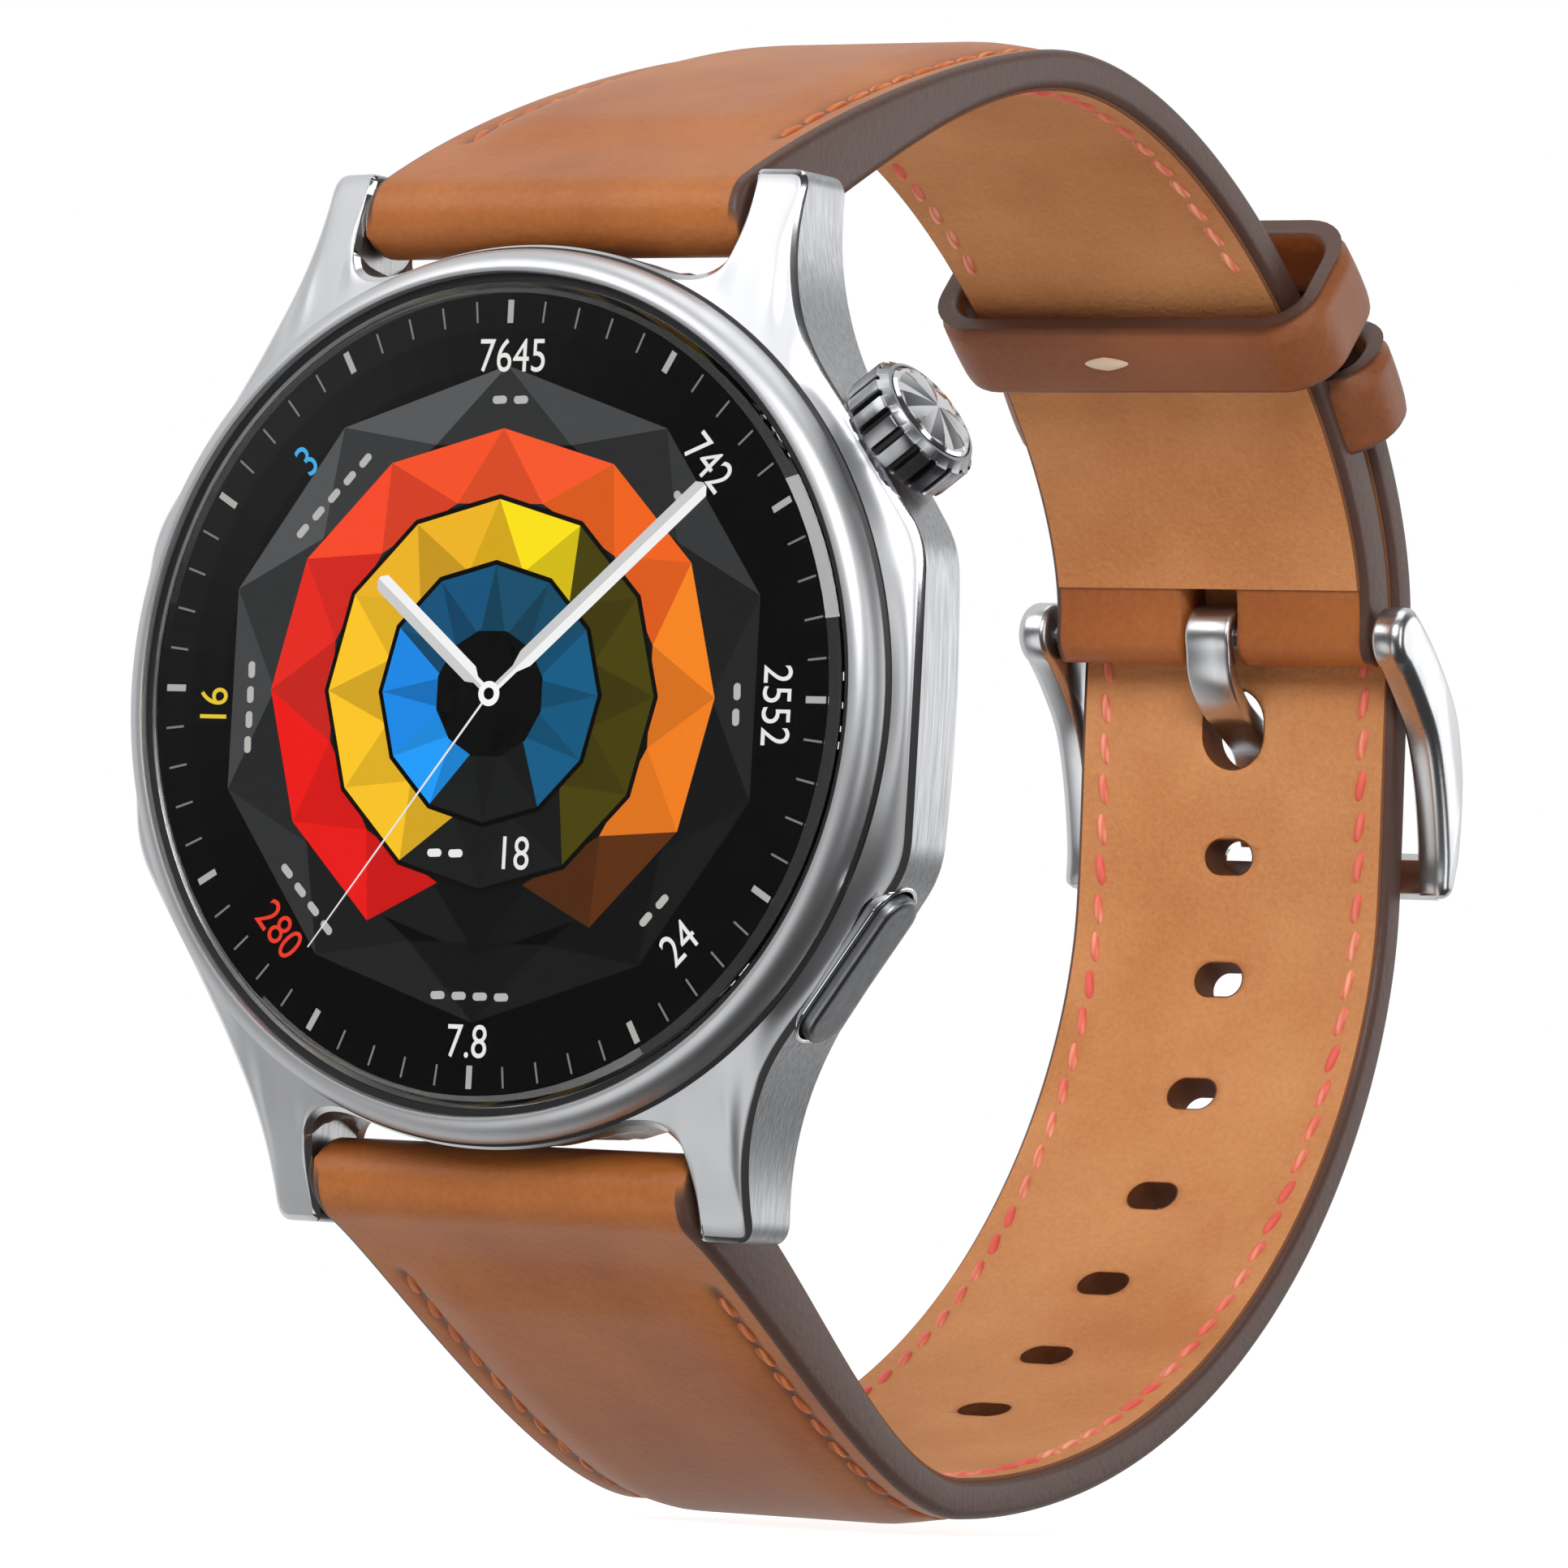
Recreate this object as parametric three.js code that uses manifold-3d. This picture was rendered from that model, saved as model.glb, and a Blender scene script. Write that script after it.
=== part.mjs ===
// A round smartwatch on a buckled leather strap, in millimetres.
// +Z points to 12 o'clock, +X to the crown side, and the display faces -Y.
// The origin is the centre of the flat window that rests on the wrist.
import * as THREE from 'three';
import { mergeVertices } from 'three/addons/utils/BufferGeometryUtils.js';
import Module from 'manifold-3d';

const wasm = await Module();
wasm.setup();

// ---------------------------------------------------------------- driving dimensions

// Gaps between pieces
const fit = 0.12;
const slack = 0.35;

// Case, seen from the front
const caseHalfWidth = 23.15;
const flatHalfLength = 7;
const facetTop = { x: 22.4, z: 8.6 };
const facetBottom = { x: 16.6, z: 16.6 };
const lugOuterX = 14.1;
const lugTipZ = 26.3;
const strapWidth = 22;

// Case, seen from the side: depths are counted back from the front of the glass
const caseDepth = 10.7;
const windowRise = 0.9;
const bezelOuterR = 22.1;
const bezelInnerR = 20.75;
const bezelDepth = 1.6;
const frontSlope = 0.4;
const bandDepth = 6.6;
const lugRearDepth = 8.4;
const tubR = 20.7;
const cavityR = 18.9;
const displayShelfDepth = 2.4;
const shelfThickness = 0.7;

// Glass and display
const glassR = 20.35;
const glassThickness = 1.2;
const displayR = 19.2;
const displayThickness = 0.8;
const carrierThickness = 0.5;

// Electronics
const shieldGap = 1.4;
const shieldHeight = 0.9;
const boardThickness = 0.7;
const batteryThickness = 2.7;

// Rear cover and sensor window
const rearCoverThickness = 0.8;
const windowR = 13;
const screwCircleR = 16.9;
const screwHeadR = 1;
const screwShankR = 0.5;
const screwHeadDepth = 0.4;

// Crown and side button
const crownR = 3.4;
const crownLength = 2.5;
const crownFlutes = 18;
const crownStemR = 0.9;
const crownDepth = 4.6;
const crownTravel = 0.35;
const buttonLength = 8.6;
const buttonWidth = 2.7;
const buttonDepth = 4.3;
const buttonTravel = 0.3;
const buttonStemR = 0.6;

// Spring bars
const barZ = 24.1;
const barDepth = 5.3;
const springBarR = 0.9;
const springPinR = 0.45;

// Strap
const foldR = 2.2;
const lugThickness = 4.2;
const strapThickness = 2.1;
const thickRun = 30;
const strapTailWidth = 19.8;
const widthRun = 42;
const padding = 0.55;
const liningThickness = 0.75;
const hingeGap = 0.6;
const upperHingeBack = 27;

// Loop that the buckled strap makes: depths and heights of its corners, and how far each one's curve reaches
const loopTop = { depth: 38, z: 35.3 };
const loopBottom = { depth: 33, z: -38.7 };
const loopBack = { depth: 75.6, z: -6 };
const reachFromUpperBar = { depth: 7.2, z: 3.9 };
const reachFromLowerBar = { depth: 7.3, z: -3.3 };
const reachAtTop = { before: 10, after: 16 };
const reachAtBottom = { before: 8.5, after: 27 };
const reachAtBack = { before: 14, after: 5 };
const reachToBuckle = { depth: 0.35, z: 10 };

// Buckle
const buckleBarDepth = 72.3;
const buckleBarZ = 8.6;
const buckleBarR = 0.75;
const buckleFoldR = 1.55;
const foldedRun = 17.5;
const panelEndBack = 2.9;
const buckleArmWidth = 1.9;
const armHeadR = 1.75;
const tongueWidth = 2.8;
const tongueSlot = 3.6;

// Keepers, and the tail's tip: distances along the strap back from the buckle bar
const keeperWidth = 5;
const keeperThickness = 1.3;
const stapleAt = -1.1;
const staple = { length: 2.7, width: 0.9, thickness: 0.45 };
const fixedKeeperBack = 13.2;
const freeKeeperBack = 19.6;
const tailTipBack = 21;
const tipRun = 8;

// Tail holes
const holeCount = 8;
const holePitch = 7.1;
const holeLength = 3;
const holeWidth = 2;
const usedHoleAcross = 3.6;
const usedHoleLengthwise = 4.3;
const usedHoleBack = 4.9;

// Fineness of the faceted solids
const roundSteps = 40;
const smallSteps = 12;
const strapStep = 3.6;

// ---------------------------------------------------------------- derived dimensions

const frontY = -(caseDepth + windowRise);
const depthY = (depth) => frontY + depth;
const lugInnerX = strapWidth / 2 + 0.2;
const facetAngle = Math.atan2(facetTop.x - facetBottom.x, facetBottom.z - facetTop.z);
const facetMid = { x: (facetTop.x + facetBottom.x) / 2, z: (facetTop.z + facetBottom.z) / 2 };
const rearCoverFront = caseDepth - rearCoverThickness;
const tailOffset = buckleFoldR + slack + strapThickness / 2;

// ---------------------------------------------------------------- materials

const metal = (color, roughness) => new THREE.MeshStandardMaterial({ color, roughness, metalness: 1 });
const plain = (color, roughness) => new THREE.MeshStandardMaterial({ color, roughness, metalness: 0 });

const steel = metal(0xb9bcbf, 0.3);
const brightSteel = metal(0xd9dbdd, 0.14);
const darkSteel = metal(0x6c7075, 0.35);
const brass = metal(0xb99a5a, 0.4);
const glass = plain(0x0a0b0d, 0.05);
const blackPlastic = plain(0x17181a, 0.55);
const blackCeramic = plain(0x101114, 0.18);
const rubber = plain(0x222222, 0.8);
const circuitBoard = plain(0x14503a, 0.5);
const batteryFoil = metal(0x9a9ea3, 0.45);
const copper = metal(0xb4693a, 0.35);
const ferrite = plain(0x2c2b2b, 0.7);
const leather = plain(0xa55f32, 0.5);
const lining = plain(0xcd8c5a, 0.6);
const thread = plain(0xe8d4b4, 0.7);

// ---------------------------------------------------------------- solids

const watch = new THREE.Group();

function toSolid(geometry) {
  const bare = geometry.index ? geometry.toNonIndexed() : geometry.clone();
  bare.deleteAttribute('normal');
  bare.deleteAttribute('uv');
  const merged = mergeVertices(bare, 1e-4);
  return new wasm.Manifold(new wasm.Mesh({
    numProp: 3,
    vertProperties: new Float32Array(merged.attributes.position.array),
    triVerts: new Uint32Array(merged.index.array),
  }));
}

function toGeometry(solid) {
  const mesh = solid.getMesh();
  const indexed = new THREE.BufferGeometry();
  indexed.setAttribute('position', new THREE.BufferAttribute(mesh.vertProperties, 3));
  indexed.setIndex(new THREE.BufferAttribute(mesh.triVerts, 1));
  const geometry = indexed.toNonIndexed();
  geometry.computeVertexNormals();
  return geometry;
}

function join(base, ...others) {
  return toGeometry(others.reduce((sum, other) => sum.add(toSolid(other)), toSolid(base)));
}

function cut(base, ...tools) {
  return toGeometry(tools.reduce((rest, tool) => rest.subtract(toSolid(tool)), toSolid(base)));
}

function common(base, other) {
  return toGeometry(toSolid(base).intersect(toSolid(other)));
}

function add(name, geometry, material, parent = watch) {
  const mesh = new THREE.Mesh(geometry, material);
  mesh.name = name;
  parent.add(mesh);
  return mesh;
}

// ---------------------------------------------------------------- basic shapes in the watch's axes

// A solid turned about the watch's axis. Its [radius, depth] corners run front to back on the outside.
function turned(corners, segments = roundSteps) {
  const profile = corners.map(([radius, depth]) => new THREE.Vector2(radius, depthY(depth)));
  return new THREE.LatheGeometry(profile, segments);
}

function ring(innerR, outerR, front, back, segments = roundSteps) {
  return turned([[outerR, front], [outerR, back], [innerR, back], [innerR, front], [outerR, front]], segments);
}

function disc(radius, front, back, segments = roundSteps) {
  return turned([[0, front], [radius, front], [radius, back], [0, back]], segments);
}

// An outline in X and Z, filled from the front depth to the back depth.
function plate(shape, front, back, curveSegments = 8) {
  const geometry = new THREE.ExtrudeGeometry(shape, { depth: back - front, bevelEnabled: false, curveSegments });
  return geometry.rotateX(Math.PI / 2).translate(0, depthY(back), 0);
}

// A side outline of [depth, z] corners, spread across the watch from x0 to x1.
function crosswise(corners, x0, x1) {
  const shape = new THREE.Shape(corners.map(([depth, z]) => new THREE.Vector2(depth, z)));
  const geometry = new THREE.ExtrudeGeometry(shape, { depth: x1 - x0, bevelEnabled: false });
  const axes = new THREE.Matrix4().makeBasis(
    new THREE.Vector3(0, 1, 0), new THREE.Vector3(0, 0, 1), new THREE.Vector3(1, 0, 0));
  return geometry.applyMatrix4(axes).translate(x0, frontY, 0);
}

function block(width, depthSize, height, x, depth, z) {
  return new THREE.BoxGeometry(width, depthSize, height).translate(x, depthY(depth), z);
}

// A round rod along X.
function rod(radius, x0, x1, depth, z, segments = 16) {
  return new THREE.CylinderGeometry(radius, radius, x1 - x0, segments)
    .rotateZ(Math.PI / 2).translate((x0 + x1) / 2, depthY(depth), z);
}

// A round post along the depth.
function post(radius, x, z, front, back, segments = 16) {
  return new THREE.CylinderGeometry(radius, radius, back - front, segments)
    .translate(x, depthY((front + back) / 2), z);
}

function stadium(length, width) {
  const r = width / 2;
  const half = length / 2 - r;
  const shape = new THREE.Shape();
  shape.moveTo(-half, -r);
  shape.lineTo(half, -r);
  shape.absarc(half, 0, r, -Math.PI / 2, Math.PI / 2);
  shape.lineTo(-half, r);
  shape.absarc(-half, 0, r, Math.PI / 2, Math.PI * 1.5);
  return shape;
}

function roundedRectangle(x0, y0, x1, y1, r, kind = THREE.Shape) {
  const shape = new kind();
  shape.moveTo(x0 + r, y0);
  shape.lineTo(x1 - r, y0);
  shape.absarc(x1 - r, y0 + r, r, -Math.PI / 2, 0);
  shape.lineTo(x1, y1 - r);
  shape.absarc(x1 - r, y1 - r, r, 0, Math.PI / 2);
  shape.lineTo(x0 + r, y1);
  shape.absarc(x0 + r, y1 - r, r, Math.PI / 2, Math.PI);
  shape.lineTo(x0, y0 + r);
  shape.absarc(x0 + r, y0 + r, r, Math.PI, Math.PI * 1.5);
  return shape;
}

// The outline of a strip of the given thickness along a smooth line of [depth, z] points.
function strip(points, thickness, steps = 24) {
  const line = new THREE.SplineCurve(points.map(([depth, z]) => new THREE.Vector2(depth, z)));
  const sides = [[], []];
  for (let i = 0; i <= steps; i += 1) {
    const p = line.getPointAt(i / steps);
    const t = line.getTangentAt(i / steps);
    sides.forEach((side, k) => {
      const h = (k ? 1 : -1) * thickness / 2;
      side.push([p.x + t.y * h, p.y - t.x * h]);
    });
  }
  return [...sides[0], ...sides[1].reverse()];
}

function circle(depth, z, r, steps = 20) {
  return Array.from({ length: steps }, (_, i) => {
    const a = (i / steps) * Math.PI * 2;
    return [depth + r * Math.cos(a), z + r * Math.sin(a)];
  });
}

// ---------------------------------------------------------------- case

// One quarter of the case's outline: the side flat, the diagonal facet, and the curve into the lug.
function caseOutline() {
  const quarter = new THREE.Path();
  const wallZ = Math.sqrt(bezelOuterR ** 2 - lugInnerX ** 2);
  quarter.moveTo(caseHalfWidth, 0);
  quarter.lineTo(caseHalfWidth, flatHalfLength);
  quarter.quadraticCurveTo(caseHalfWidth, flatHalfLength + 0.6, facetTop.x, facetTop.z);
  quarter.lineTo(facetBottom.x, facetBottom.z);
  quarter.bezierCurveTo(
    facetBottom.x - 1.4, facetBottom.z + 1.9, lugOuterX, lugTipZ - 5.5, lugOuterX, lugTipZ - 1);
  quarter.quadraticCurveTo(lugOuterX, lugTipZ, lugOuterX - 0.8, lugTipZ);
  quarter.lineTo(lugInnerX, lugTipZ);
  quarter.lineTo(lugInnerX, wallZ);
  quarter.absarc(0, 0, bezelOuterR, Math.atan2(wallZ, lugInnerX), Math.PI / 2);
  const points = quarter.getPoints(5);
  const flipped = [...points].reverse();
  return new THREE.Shape([
    ...points,
    ...flipped.map((p) => new THREE.Vector2(-p.x, p.y)).slice(1),
    ...points.map((p) => new THREE.Vector2(-p.x, -p.y)).slice(1),
    ...flipped.map((p) => new THREE.Vector2(p.x, -p.y)).slice(1, -1),
  ]);
}

// The lugs drop towards the wrist, so the case's rear edge falls away from the side flats to the tips.
function caseSide() {
  const rear = [[bandDepth, facetTop.z], [bandDepth + 0.5, facetBottom.z], [lugRearDepth - 0.4, 21],
    [lugRearDepth, lugTipZ - 1], [lugRearDepth - 0.5, lugTipZ + 0.5]];
  const mirrored = [...rear].reverse().map(([depth, z]) => [depth, -z]);
  return [[0, lugTipZ + 0.5], [0, -lugTipZ - 0.5], ...mirrored, ...rear];
}

const facetNormal = (sign) => new THREE.Vector3(Math.cos(facetAngle), 0, sign * Math.sin(facetAngle));

// A group whose +Y points out of the diagonal facet above (+1) or below (-1) the side flat.
function facetGroup(sign, depth) {
  const group = new THREE.Group();
  group.position.set(facetMid.x, depthY(depth), sign * facetMid.z);
  const out = facetNormal(sign);
  const rearward = new THREE.Vector3(0, 1, 0);
  const along = new THREE.Vector3().crossVectors(out, rearward);
  group.quaternion.setFromRotationMatrix(new THREE.Matrix4().makeBasis(along, out, rearward));
  group.updateMatrix();
  watch.add(group);
  return group;
}

const crownSeat = facetGroup(1, crownDepth);
const buttonSeat = facetGroup(-1, buttonDepth);
const inSeat = (geometry, seat) => geometry.clone().applyMatrix4(seat.matrix);

// A round piece on a seat's axis, from its base to its top along the outward direction.
const turnedOut = (corners, segments = smallSteps) => new THREE.LatheGeometry(
  corners.map(([r, out]) => new THREE.Vector2(r, out)), segments);
const collar = (innerR, outerR, base, top, segments = smallSteps) => turnedOut(
  [[outerR, base], [outerR, top], [innerR, top], [innerR, base], [outerR, base]], segments);
const stud = (r, base, top, segments = smallSteps) => turnedOut(
  [[0, base], [r, base], [r, top], [0, top]], segments);

// A stadium lying on the facet, its length along the facet.
const pill = (length, width, base, top) => new THREE.ExtrudeGeometry(
  stadium(length, width), { depth: top - base, bevelEnabled: false, curveSegments: 8 })
  .rotateX(-Math.PI / 2).translate(0, base, 0);

const wallThickness = facetMid.x * Math.cos(facetAngle) + facetMid.z * Math.sin(facetAngle) - cavityR;
const crownTubeR = crownStemR + 0.55;
const buttonRecess = 1;
const buttonBoreR = buttonStemR + 0.4;
const bossR = cavityR - screwCircleR + 0.3;
const bossFront = 7;
const screwAngles = [45, 135, 225, 315].map((degrees) => THREE.MathUtils.degToRad(degrees));
const onCircle = (r, angle) => [r * Math.cos(angle), r * Math.sin(angle)];

function midCase() {
  const reach = lugTipZ + 5;
  const dome = turned([[0, bezelDepth + fit], [bezelOuterR, bezelDepth + fit],
    [reach, bezelDepth + fit + frontSlope * (reach - bezelOuterR)], [reach, caseDepth], [0, caseDepth]]);
  const tubTopR = bezelOuterR - 0.3;
  const tub = turned([[0, bandDepth - 1.5], [tubTopR, bandDepth - 1.5], [tubTopR, bandDepth],
    [tubR, rearCoverFront - fit], [0, rearCoverFront - fit]]);
  const side = crosswise(caseSide(), -reach, reach);
  const body = join(common(common(plate(caseOutline(), 0, caseDepth), side), dome), tub);
  const bosses = screwAngles.map((angle) => post(
    bossR, ...onCircle(screwCircleR, angle), bossFront, rearCoverFront - fit));
  const shelf = displayShelfDepth + shelfThickness;
  const cavity = turned([[0, 0], [displayR + 0.25, 0], [displayR + 0.25, shelf], [cavityR, shelf],
    [cavityR, caseDepth + 1], [0, caseDepth + 1]]);
  const scoops = [1, -1].map((sign) => rod(foldR + 0.8, -lugInnerX, lugInnerX, barDepth, sign * barZ, 32));
  const barHoles = [[1, 1], [1, -1], [-1, 1], [-1, -1]].map(([sx, sz]) => rod(
    springPinR + fit, Math.min(sx * (lugInnerX - 1), sx * (lugInnerX + 1.4)),
    Math.max(sx * (lugInnerX - 1), sx * (lugInnerX + 1.4)), barDepth, sz * barZ));
  const seats = [
    inSeat(stud(crownTubeR, -wallThickness - 3, 2), crownSeat),
    inSeat(pill(buttonLength + 0.5, buttonWidth + 0.5, -buttonRecess, 2), buttonSeat),
    inSeat(stud(buttonBoreR, -wallThickness - 3, 0), buttonSeat),
  ];
  const screwHoles = screwAngles.map((angle) => post(
    screwShankR + fit, ...onCircle(screwCircleR, angle), bossFront + 0.6, caseDepth));
  return cut(join(cut(body, cavity), ...bosses), ...scoops, ...barHoles, ...seats, ...screwHoles);
}

add('mid_case', midCase(), steel);
add('bezel_ring', turned([[bezelInnerR + 0.25, 0], [bezelOuterR - 0.35, 0.75],
  [bezelOuterR, bezelDepth - 0.3], [bezelOuterR, bezelDepth], [bezelInnerR, bezelDepth], [bezelInnerR, 0.2],
  [bezelInnerR + 0.25, 0]]), brightSteel);

// ---------------------------------------------------------------- glass and display

add('cover_glass', turned([[0, 0], [glassR - 0.5, 0], [glassR, 0.35], [glassR, glassThickness],
  [0, glassThickness]]), glass);
add('glass_gasket', ring(glassR + 0.1, bezelInnerR - 0.1, 0.5, bezelDepth), rubber);
const displayFront = glassThickness + 0.15;
const displayBack = displayFront + displayThickness;
add('display_panel', disc(displayR, displayFront, displayBack), glass);

// The carrier plate under the display, cut away where the display's cable passes through.
const carrierFront = displayShelfDepth + 0.1;
const carrierBack = carrierFront + carrierThickness;
const cableSlot = { width: 9, z: -14.5, height: 3 };
add('carrier_plate', cut(disc(displayR, carrierFront, carrierBack),
  block(cableSlot.width, 3, cableSlot.height, 0, carrierFront, cableSlot.z)), blackPlastic);
add('display_cable', crosswise(strip([[displayBack + 0.2, -10], [displayBack + 0.2, cableSlot.z + 0.4],
  [carrierBack, cableSlot.z], [carrierBack + 1, cableSlot.z + 1]], 0.18), -3.5, 3.5), copper);

// ---------------------------------------------------------------- electronics

const boardFront = carrierBack + shieldGap;
const boardBack = boardFront + boardThickness;
const boardR = cavityR - 0.4;
const seatClearance = [1, -1].map((sign) => {
  const out = facetNormal(sign);
  return block(8.5, 4, 8, cavityR - 2.75, boardFront, 0).rotateY(-Math.atan2(out.z, out.x));
});
add('main_board', cut(disc(boardR, boardFront, boardBack), ...seatClearance,
  ...screwAngles.map((angle) => post(bossR + 0.4, ...onCircle(screwCircleR, angle), 3, 6))), circuitBoard);
const shieldMid = boardFront - fit - shieldHeight / 2;
add('processor_shield', block(13, shieldHeight, 9, -4, shieldMid, 6), darkSteel);
add('radio_shield', block(8, shieldHeight, 10, 3, shieldMid, -5.5), darkSteel);
const batteryFront = boardBack + 0.25;
const batteryBack = batteryFront + batteryThickness;
add('battery', plate(roundedRectangle(-11.5, -9.5, 9.5, 9.5, 2), batteryFront, batteryBack), batteryFoil);
add('haptic_motor', block(4.2, 2.5, 10, -14, batteryFront + 1.25, 0), darkSteel);
add('speaker', block(11, 2.4, 4.2, 0, batteryFront + 1.2, -13.2), blackPlastic);
add('microphone', block(3, 1, 3.6, -2, batteryFront + 0.5, 13), darkSteel);

// ---------------------------------------------------------------- rear cover and sensor

const coverSpigotR = 13.9;
const windowSeat = windowR + 0.15;
add('rear_cover', cut(turned([[0, rearCoverFront - 0.7], [coverSpigotR, rearCoverFront - 0.7],
  [coverSpigotR, rearCoverFront], [tubR - 0.1, rearCoverFront], [tubR - 0.5, caseDepth - 0.15],
  [tubR - 1, caseDepth], [0, caseDepth]]),
disc(windowSeat, rearCoverFront - 1, caseDepth + 1),
...screwAngles.map((angle) => post(
  screwShankR + fit, ...onCircle(screwCircleR, angle), rearCoverFront - 1, caseDepth + 1)),
...screwAngles.map((angle) => post(
  screwHeadR + fit, ...onCircle(screwCircleR, angle), caseDepth - screwHeadDepth - 0.05, caseDepth + 1))),
blackPlastic);
add('rear_gasket', ring(coverSpigotR + fit, coverSpigotR + 0.5, rearCoverFront - 0.6, rearCoverFront - fit), rubber);
const sensorFront = rearCoverFront - 0.3;
add('sensor_window', turned([[0, sensorFront + 0.35], [windowR, sensorFront + 0.35],
  [windowR, caseDepth + 0.15], [windowR - 1.2, caseDepth + windowRise - 0.3],
  [windowR - 3, caseDepth + windowRise], [0, caseDepth + windowRise]]), blackCeramic);
add('sensor_board', disc(6.8, batteryBack + 0.15, sensorFront + 0.2, 32), circuitBoard);
add('charging_coil', ring(7.6, 11.6, batteryBack + 0.75, sensorFront + 0.2, 32), copper);
add('coil_ferrite', ring(7.4, 12, batteryBack + 0.15, batteryBack + 0.6, 32), ferrite);
screwAngles.forEach((angle, i) => {
  const [x, z] = onCircle(screwCircleR, angle);
  add(`rear_screw_${i + 1}`, join(post(screwHeadR, x, z, caseDepth - screwHeadDepth, caseDepth),
    post(screwShankR, x, z, bossFront + 0.8, caseDepth - 0.2)), darkSteel);
});

// ---------------------------------------------------------------- crown

const crownBase = crownTravel + 0.12;
const crownTop = crownBase + crownLength;

// A wheel with square-cut flutes round its rim.
function flutedWheel() {
  const shape = new THREE.Shape();
  const pitch = (Math.PI * 2) / crownFlutes;
  const groove = 0.22 * pitch;
  const rootR = crownR - 0.35;
  for (let i = 0; i < crownFlutes; i += 1) {
    const corners = [[rootR, -groove / 2], [rootR, groove / 2], [crownR, groove / 2], [crownR, pitch / 2],
      [crownR, pitch - groove / 2]];
    corners.forEach(([r, turn], k) => {
      const a = i * pitch + turn;
      shape[i + k === 0 ? 'moveTo' : 'lineTo'](r * Math.cos(a), r * Math.sin(a));
    });
  }
  const wheel = new THREE.ExtrudeGeometry(shape, { depth: crownLength, bevelEnabled: false })
    .rotateX(-Math.PI / 2).translate(0, crownBase, 0);
  const envelope = turnedOut([[0, crownBase], [crownR - 0.3, crownBase], [crownR + 0.01, crownBase + 0.3],
    [crownR + 0.01, crownTop - 0.35], [crownR - 0.3, crownTop], [0, crownTop]], 36);
  return cut(common(wheel, envelope), stud(crownStemR + fit, crownBase - 1, crownTop - 0.8),
    stud(crownR - 0.75, crownTop - 0.3, crownTop + 1, 36));
}

add('crown_wheel', flutedWheel(), darkSteel, crownSeat);
add('crown_cap', turnedOut([[0, crownTop - 0.3 + fit], [crownR - 0.9, crownTop - 0.3 + fit],
  [crownR - 0.9, crownTop], [crownR - 1.3, crownTop + 0.4], [0, crownTop + 0.65]], 36), brightSteel, crownSeat);
const clipOut = -wallThickness - 0.5;
add('crown_stem', cut(stud(crownStemR, clipOut - 1.2, crownTop - 0.9),
  collar(crownStemR - 0.25, crownStemR + 1, clipOut - 0.4, clipOut)), steel, crownSeat);
add('crown_clip', collar(crownStemR - 0.15, crownStemR + 0.6, clipOut - 0.33, clipOut - 0.07), brass, crownSeat);
add('crown_tube', collar(crownStemR + 0.3, crownTubeR - fit, -wallThickness + 0.4, -0.3), steel, crownSeat);
add('crown_seal', collar(crownStemR + 0.06, crownStemR + 0.24, -2.2, -1.6), rubber, crownSeat);
add('crown_encoder', new THREE.BoxGeometry(3, 2, 3).translate(0, clipOut - 2.9, 0), blackPlastic, crownSeat);

// ---------------------------------------------------------------- side button

const buttonTop = 0.6;
add('button_cap', cut(pill(buttonLength, buttonWidth, buttonTravel + 0.1 - buttonRecess, buttonTop),
  stud(buttonStemR + fit, -buttonRecess - 1, buttonTop - 0.5)), steel, buttonSeat);
const flangeTop = -wallThickness - 0.2;
add('button_stem', join(stud(buttonStemR, flangeTop - 1, buttonTop - 0.6),
  stud(buttonStemR + 0.6, flangeTop - 0.4, flangeTop)), steel, buttonSeat);
add('button_seal', collar(buttonStemR + 0.08, buttonBoreR - 0.1, -2.4, -1.8), rubber, buttonSeat);
add('button_switch', new THREE.BoxGeometry(4, 1.2, 2.2).translate(0, flangeTop - 1 - 0.6 - buttonTravel - 0.12, 0),
  blackPlastic, buttonSeat);

// ---------------------------------------------------------------- the loop that the strap follows

const point = (depth, z) => new THREE.Vector2(depth, z);
const smooth = THREE.MathUtils.smoothstep;
const { lerp } = THREE.MathUtils;

// From the upper spring bar over the top of the loop to the buckle bar.
const upperPath = new THREE.CurvePath();
upperPath.add(new THREE.CubicBezierCurve(point(barDepth, barZ),
  point(barDepth + reachFromUpperBar.depth, barZ + reachFromUpperBar.z),
  point(loopTop.depth - reachAtTop.before, loopTop.z), point(loopTop.depth, loopTop.z)));
upperPath.add(new THREE.CubicBezierCurve(point(loopTop.depth, loopTop.z),
  point(loopTop.depth + reachAtTop.after, loopTop.z),
  point(buckleBarDepth + reachToBuckle.depth, buckleBarZ + reachToBuckle.z), point(buckleBarDepth, buckleBarZ)));
const upperLength = upperPath.getLength();

// A place along a path: its point, its direction, and the way out of the loop.
function spot(path, along, side) {
  const u = THREE.MathUtils.clamp(along / path.getLength(), 0, 1);
  const p = path.getPoint(u);
  const t = path.getTangent(u);
  return { p, t, n: point(-t.y * side, t.x * side) };
}

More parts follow.
